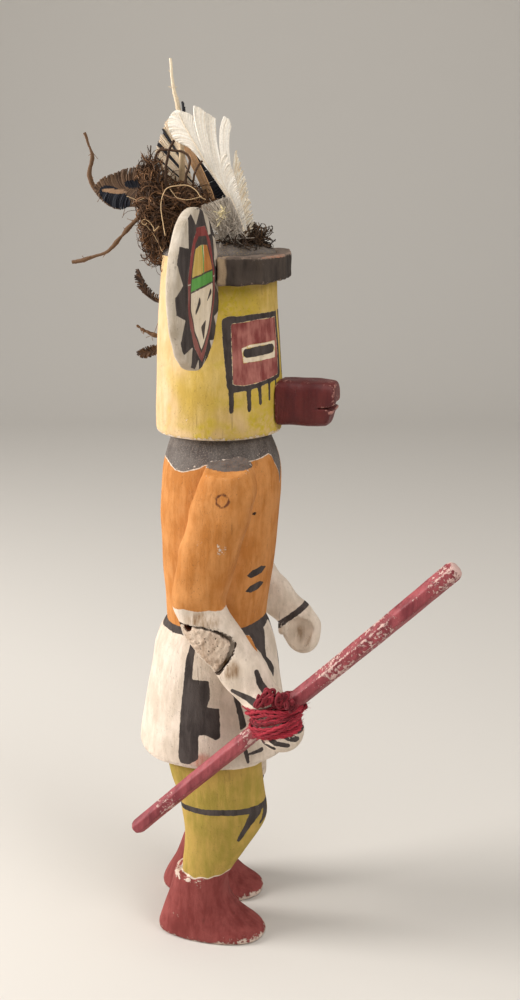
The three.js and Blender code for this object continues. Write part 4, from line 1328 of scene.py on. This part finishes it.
def plume_piece():
    """A white plume that has split into a broad curled lobe and narrower ones."""
    rng = np.random.default_rng(31)
    bundle = Bundle()
    shaft = at_depth(-3, (-11.9, 251), (-9.4, 257), (-6.9, 262.4), (-2.6, 269), (1.6, 275), (5.4, 281.4),
                     (8.8, 287), (10.6, 291))
    stem = at_depth(-3, (-11.9, 251), (-9.6, 257), (-7.4, 262.4), (-4.6, 268), (-2.6, 272.5))
    curl = at_depth(-3, (-10.4, 254), (-7.8, 259), (-5.9, 264), (-2.6, 268.6), (1.0, 273.4), (6.9, 280.0),
                    (11.6, 282.2), (13.8, 285), (14.4, 288.2), (13.2, 290.6), (11.2, 291.8))
    lobes = [  # shaft, edge, barbs, thickness, depth
        (shaft, curl, 200, 0.48, 0.15),
        (at_depth(-3, (-0.6, 272), (5, 281), (10, 289.6)),
         at_depth(-3, (4.7, 286.2), (6.4, 290.2), (10.4, 291.8)), 90, 0.48, 0.15),
        (at_depth(-3.2, (-3.4, 268.5), (-1.6, 271), (1, 275)),
         at_depth(-3.6, (1.8, 291.2), (3.6, 292.6), (5.2, 293.2)), 56, 0.432, 0.1),
        (at_depth(-3.2, (-6.4, 264), (-4, 268), (-2.4, 270)),
         at_depth(-2.8, (-1.3, 289.2), (0.2, 290.3), (1.4, 291.0)), 50, 0.432, 0.1),
        (at_depth(-3, (-4.6, 267), (-3, 270), (-2, 271)),
         at_depth(-2.8, (-1.6, 280), (-1.4, 284), (-1.3, 288)), 40, 0.432, 0.1),
        (at_depth(-3, (-8.4, 262), (-6.4, 266), (-4.6, 269)),
         at_depth(-2.4, (-6.3, 287.2), (-5.6, 289.2), (-4.3, 289.9)), 44, 0.432, 0.1),
        (stem, at_depth(-3, (-12.2, 252), (-10.9, 259), (-9.2, 265.4), (-8.3, 269.5), (-6.7, 274),
                        (-4.8, 278.6)), 110, 0.456, 0.125),
    ]
    for inner, outer, count, radius, depth in lobes:
        barbs, widths, _ = fan(inner, outer, count, rng, 0.3, 0.03, radius, depth)
        bundle.add(barbs, widths, shades(barbs, 0.8, 0.1, rng))
    for path, radius in ((shaft, 0.55), (stem, 0.5)):
        line = smooth_line(path, 60) + np.array([-0.45, 0, 0])
        bundle.add([line], np.linspace(radius, 0.16, 60), 0.35)
    finish = strand_finish("white_feather", 0.6, (216, 192, 156), (255, 250, 240), sheen=0.15)
    spun("white_plume_barbs", bundle, 4, finish, "white_plume")


def ragged_piece():
    """What is left of a second white plume: a stem with short broken barbs and a tuft at its tip."""
    rng = np.random.default_rng(32)
    bundle = Bundle()
    stem = at_depth(0.5, (-11.2, 251), (-9.6, 257), (-8.4, 263), (-7.4, 269), (-6.6, 274))
    edge = at_depth(0.5, (-13.5, 254.6), (-12.9, 259.8), (-11.9, 264.4), (-11, 268), (-10.1, 272),
                    (-8.6, 275.6), (-7.2, 279.2))
    tip = at_depth(0.5, (-6.4, 275), (-6.9, 278), (-7.7, 280))
    barbs, thick, _ = fan(stem, edge, 74, rng, 0.16, 0.5, 0.34, 0.3)
    tuft, widths, _ = fan(stem[3:], tip, 16, rng, 0.1, 0.4, 0.3, 0.2)
    bundle.add(barbs + tuft, thick + widths, shades(barbs + tuft, 0.65, 0.2, rng))
    bundle.add([smooth_line(stem, 40)], np.linspace(0.5, 0.2, 40), 0.3)
    finish = strand_finish("ragged_feather", 0.6, (232, 208, 170), (255, 250, 238))
    spun("ragged_plume_barbs", bundle, 4, finish, "ragged_plume")


def barred_piece():
    """The feather behind the plume: a tan middle, bars towards the back and a dark front vane."""
    rng = np.random.default_rng(33)
    bundle = Bundle()
    shaft = at_depth(8.5, (2.6, 258), (3.6, 264), (6.6, 271), (9.4, 276.6), (11.4, 281.6), (12.6, 286.4))
    back = at_depth(8.5, (15, 263.5), (18.6, 269.6), (22.2, 277.0), (22, 281.0), (20.4, 284.6), (18.6, 288.8),
                    (15.4, 290.6))
    front = at_depth(8.8, (-3, 262), (-4.4, 266.4), (-1, 271), (3, 276.4), (7, 281.4), (9, 286))
    inner = at_depth(8.5, (4.6, 255), (6.0, 259), (8.4, 265), (10.4, 271), (12.4, 277))
    tip_shaft = at_depth(3, (11.6, 286), (11.2, 289), (11, 291))
    tip_edge = at_depth(3, (10.4, 291), (10.6, 294), (11.6, 295.4))
    barbs, thick, along = fan(inner, back, 150, rng, 0.04, 0.1, 0.34, 0.3)
    bars = [float(t < 0.8 and (t * 6.5) % 1 < 0.34) for t in along]
    bundle.add(barbs, thick, shades(barbs, 0.8, 0.12, rng), bars)
    barbs, thick, _ = fan(shaft, front, 90, rng, 0.2, 0.08, 0.36, 0.3, start=0.1)
    bundle.add(barbs, thick, 0.2, 1.0)
    for offset in np.linspace(-1.3, 1.3, 7):
        line = smooth_line(shaft, 50) + np.array([-0.5, offset * 0.8, -offset * 0.5])
        bundle.add([line], np.linspace(0.36, 0.3, 50), rng.uniform(0.0, 0.2))
    barbs, thick, _ = fan(tip_shaft, tip_edge, 14, rng, 0.1, 0.2, 0.3, 0.2)
    bundle.add(barbs, thick, 0.5, 1.0)
    finish = strand_finish("barred_barbs", 0.65, (200, 156, 112), (248, 234, 210), (40, 40, 46))
    spun("barred_feather_barbs", bundle, 4, finish, "barred_feather")


def grey_piece():
    """A soft grey feather, downy towards its root, with a yellowish white tuft."""
    rng = np.random.default_rng(34)
    bundle = Bundle()
    root = at_depth(-9, (-5.4, 249.6), (-6.4, 251), (-7.6, 252.2))
    rim = at_depth(-9, (-0.6, 256.5), (0.4, 259.6), (2.0, 262.0), (-2.4, 263.6), (-6.9, 265.0), (-9.4, 261),
                   (-11.4, 256), (-10.8, 252))
    barbs, thick, _ = fan(root, rim, 420, rng, 0.25, 0.1, 0.27, 0.4, points=9)
    bundle.add(barbs, thick, shades(barbs, 0.62, 0.14, rng))
    s = np.linspace(0, 1, 7)[:, None]
    for _ in range(300):  # down
        start = np.array([-9.4, rng.uniform(-10, -3), rng.uniform(250, 258.5)])
        way = np.array([rng.normal(-0.4, 0.5), rng.normal(0.1, 0.9), rng.normal(0.5, 0.7)])
        line = start + way * s * rng.uniform(1.6, 4.0) + rng.normal(0, 1.0, 3) * s**2
        bundle.add([line], 0.07, rng.uniform(0.5, 1))
    s = np.linspace(0, 1, 5)[:, None]
    for _ in range(70):  # the tuft
        start = np.array([-10.4, -5.4, 260.0]) + rng.normal(0, 1, 3) * (0.2, 0.4, 0.8)
        bundle.add([start + rng.normal(0, 1, 3) * s * 0.8], 0.16, 1.0, 1.0)
    finish = strand_finish("grey_down", 0.75, (112, 100, 88), (206, 194, 178), (236, 222, 178), 0.3)
    spun("grey_feather_barbs", bundle, 3, finish, "grey_feather")


def eye_marks(y, z):
    """The dark spots of the brown feather and its pale streak, each below one inside."""
    dy, dz = y - 33.4, z - 264.2
    big = np.hypot(dy * 0.88 + dz * 0.47, (dz * 0.88 - dy * 0.47) * 1.9) / 5.9
    small = np.hypot((y - 26.8) / 3.2, (z - 268.6) / 1.4)
    streak = np.hypot((y - 33.6) / 4.4, (z - 266.3 - 0.06 * (y - 33.6)) / 0.75)
    return np.minimum(big, small), streak


def eye_piece():
    """A brown feather with dark oval eyes and a pale streak."""
    rng = np.random.default_rng(35)
    bundle = Bundle()
    shaft = at_depth(-2.3, (17, 264), (23, 266), (29, 267.0), (35, 267), (39.6, 266.8))
    above = at_depth(-2.3, (18, 272), (22.8, 274.4), (28.7, 273.8), (34.3, 271.9), (38, 270.4), (41, 267.6))
    below = at_depth(-2.3, (20, 264), (24.4, 263.4), (28.4, 261.4), (32.6, 260.2), (37.6, 262.6),
                     (40.9, 266.4))
    for edge, ragged in ((above, 0.3), (below, 0.16)):
        barbs, widths, _ = fan(shaft, edge, 150, rng, 0.3, ragged, 0.3, 0.25, points=14)
        for barb, width in zip(barbs, widths):
            dark, streak = eye_marks(barb[:, 1], barb[:, 2])
            shade = np.where(streak < 1, 1.0, np.clip(rng.normal(0.25, 0.12), 0, 0.6))
            bundle.add([barb], width, shade, ((dark < 1) & (streak > 1)).astype(float))
    bundle.add([smooth_line(shaft, 40)], np.linspace(0.4, 0.2, 40), 0.6)
    finish = strand_finish("eye_barbs", 0.5, (60, 40, 28), (168, 134, 104), (24, 27, 38))
    spun("eye_feather_barbs", bundle, 4, finish, "eye_feather")


ROOTS = [  # name, its node, points, radius at both ends, slot
    ("tall_root_strand", "tall_root",
     [(2.4, 21, 263.6), (3, 31, 261.4), (2.6, 40, 265), (1.2, 43, 271), (0.4, 41.2, 277), (-0.4, 41.6, 281),
      (-0.8, 42.4, 285)], (0.85, 0.6), "brown_fibre"),
    ("low_root_strand", "low_root",
     [(-2, 19, 261.6), (-2, 25, 258), (-2, 31.6, 251.6), (-2, 36, 247), (-2, 40.6, 244.8), (-2, 45, 243.4),
      (-2, 49.2, 242.4)], (0.9, 0.5), "brown_fibre"),
    ("nape_twig_strand", "nape_twig",
     [(5, 19, 218), (5, 22, 217.6), (5, 26, 219), (5, 29, 220.6)], (0.8, 0.4), "dark_fibre"),
]


def root_pieces():
    """Crooked rootlets of uneven thickness, with fine side roots."""
    rng = np.random.default_rng(36)
    finish = strand_finish("root_bark", 0.85, (66, 46, 32), (132, 100, 72))
    n = 70
    s = np.linspace(0, 1, 6)[:, None]
    for name, node, path, ends, slot in ROOTS:
        bundle = Bundle()
        line = smooth_line(path, n)
        line += np.cumsum(rng.normal(0, 0.07, line.shape), axis=0) * np.linspace(0, 1, n)[:, None]
        knots = np.interp(np.arange(n), np.arange(0, 71, 5), rng.normal(0, 1, 15))
        bundle.add([line], np.linspace(*ends, n) * (1 + 0.22 * knots), 0.5)
        for _ in range(14):
            k = rng.integers(5, 65)
            way = rng.normal(0, 1, 3)
            side_root = line[k] + way * s * rng.uniform(0.8, 2.2) + rng.normal(0, 0.5, 3) * s**2
            bundle.add([side_root], 0.09, 0.9)
        spun(name, bundle, 7, finish, node)


NAPE_FEATHERS = [  # name, its node, spine, the ways in which its two vanes spread
    ("nape_feather_barbs", "nape_feather",
     [(4, 18.5, 229), (4.4, 22.6, 229.6), (5, 25.6, 232), (5, 27.2, 235.6), (5, 27.8, 238.6)],
     [(0, 1, 0.4), (0, -0.6, 0.9)]),
    ("low_nape_barbs", "low_nape_feather",
     [(5, 18.5, 213.6), (5, 22, 212.6), (5, 25.6, 211.6), (5, 28.6, 211.4)],
     [(0, 0.2, 1), (0, 0.3, -1)]),
]


def nape_pieces():
    rng = np.random.default_rng(37)
    finish = strand_finish("nape_barbs", 0.6, (44, 30, 22), (96, 68, 46))
    for name, node, spine, ways in NAPE_FEATHERS:
        bundle = Bundle()
        line = smooth_line(spine, 40)
        lines, thick = [line], [0.35]
        swell = np.sin(np.linspace(0.4, 2.9, len(spine)))[:, None] * 2.2
        for way in ways:
            edge = np.array(spine) + np.array(way) * swell + (line[-1] - line[0]) * 0.12
            barbs, widths, _ = fan(spine, edge, 40, rng, 0.3, 0.4, 0.28, 0.25)
            lines += barbs
            thick += widths
        bundle.add(lines, thick, [rng.uniform(0, 1) for _ in lines])
        spun(name, bundle, 4, finish, node)


def quill_piece():
    """A bare quill that thins in steps, with a few broken barbs near its top."""
    rng = np.random.default_rng(38)
    bundle = Bundle()
    n = 90
    stops = [(5.6, 12.6, 262), (5, 12.4, 280), (3.6, 12.6, 291), (2.4, 14.2, 300), (2, 14.7, 308.1)]
    path = smooth_line(stops, n)
    path += rng.normal(0, 0.05, path.shape)
    radius = np.interp(np.arange(n), [0, 50, 60, 76, 89], [1.1, 0.95, 0.8, 0.5, 0.45])
    bundle.add([path], radius, np.linspace(0.1, 1.0, n))
    s = np.linspace(0, 1, 4)[:, None]
    for _ in range(26):
        k = rng.integers(45, 82)
        way = np.array([0, rng.choice([-1, 1]) * 0.5, 0.7]) + rng.normal(0, 0.3, 3)
        bundle.add([path[k] + way * s * rng.uniform(0.6, 1.8)], 0.12, 0.9)
    finish = strand_finish("quill_shaft", 0.45, (196, 160, 112), (240, 224, 196))
    spun("bare_quill_shaft", bundle, 7, finish, "bare_quill")


plume_piece()
ragged_piece()
barred_piece()
grey_piece()
eye_piece()
root_pieces()
nape_pieces()
quill_piece()


# ---- stage, light and camera


UP = Vector((0, 0, 1))
VIEW_TURN, VIEW_TILT = math.radians(283), math.radians(15.5)
VIEW_FAR = 0.4473
LENS = 46.0
right_hand = Vector((math.cos(VIEW_TURN), math.sin(VIEW_TURN), 0))
ahead = Vector((-math.sin(VIEW_TURN), math.cos(VIEW_TURN), 0))
to_camera = -ahead * math.cos(VIEW_TILT) + UP * math.sin(VIEW_TILT)
aim = Vector((DOLL * MM).tolist()) + right_hand * 0.01505 + UP * 0.1613
LIGHTS = [  # name, the way to it from the doll, its distance, size, power and colour
    ("left_window", -right_hand * 0.88 + to_camera * 0.05 + UP * 0.3, 0.9, 0.4, 8.9, (1.0, 0.965, 0.93)),
    ("right_fill", right_hand * 0.7 + to_camera * 0.7 + UP * 0.5, 1.0, 0.6, 5.2, (1.0, 0.97, 0.94)),
    ("top_soft", UP * 1.1 + to_camera * 0.3, 0.9, 0.8, 5.0, (1.0, 0.98, 0.95)),
]


def stage_piece():
    """A pale floor that curves up behind the doll."""
    width, front, back, bend, height = 3.0, -3.0, 1.4, 0.5, 2.6
    below_soles = 0.0002
    bends = np.linspace(0.05, math.pi / 2, 24)
    outline = [(front, 0.0), (back - bend, 0.0)]
    outline += [(back - bend + bend * math.sin(a), bend - bend * math.cos(a)) for a in bends]
    outline.append((back, height))
    points = [ahead * far + right_hand * width * side + UP * (up - below_soles)
              for far, up in outline for side in (-1, 1)]
    faces = [(i, i + 1, i + 3, i + 2) for i in range(0, len(points) - 2, 2)]
    mesh = bpy.data.meshes.new("studio_floor")
    mesh.from_pydata(points, [], faces)
    mesh.shade_smooth()
    mesh.materials.append(Finish("floor_paper").done(tone((214, 210, 204)), 0.9))
    floor = bpy.data.objects.new("studio_floor", mesh)
    bpy.context.scene.collection.objects.link(floor)


def placed(name, data, away):
    """A camera or light that looks at the doll from a place away from it."""
    thing = bpy.data.objects.new(name, data)
    thing.location = aim + away
    thing.rotation_euler = (-away).to_track_quat("-Z", "Y").to_euler()
    bpy.context.scene.collection.objects.link(thing)
    return thing


def soft_light(name, way, far, size, power, colour):
    lamp = bpy.data.lights.new(name, "AREA")
    lamp.shape = "DISK"
    lamp.size = size
    lamp.energy = power
    lamp.color = colour
    placed(name, lamp, way * far)


def set_camera():
    camera = bpy.data.cameras.new("camera")
    camera.lens = LENS
    camera.clip_start = 0.01
    bpy.context.scene.camera = placed("camera", camera, to_camera * VIEW_FAR)


def set_world():
    world = bpy.data.worlds.new("studio")
    world.use_nodes = True
    background = world.node_tree.nodes["Background"]
    background.inputs["Color"].default_value = tone((226, 224, 220))
    background.inputs["Strength"].default_value = 0.36
    bpy.context.scene.world = world


stage_piece()
set_camera()
for row in LIGHTS:
    soft_light(*row)
set_world()
bpy.context.scene.view_settings.view_transform = "Standard"
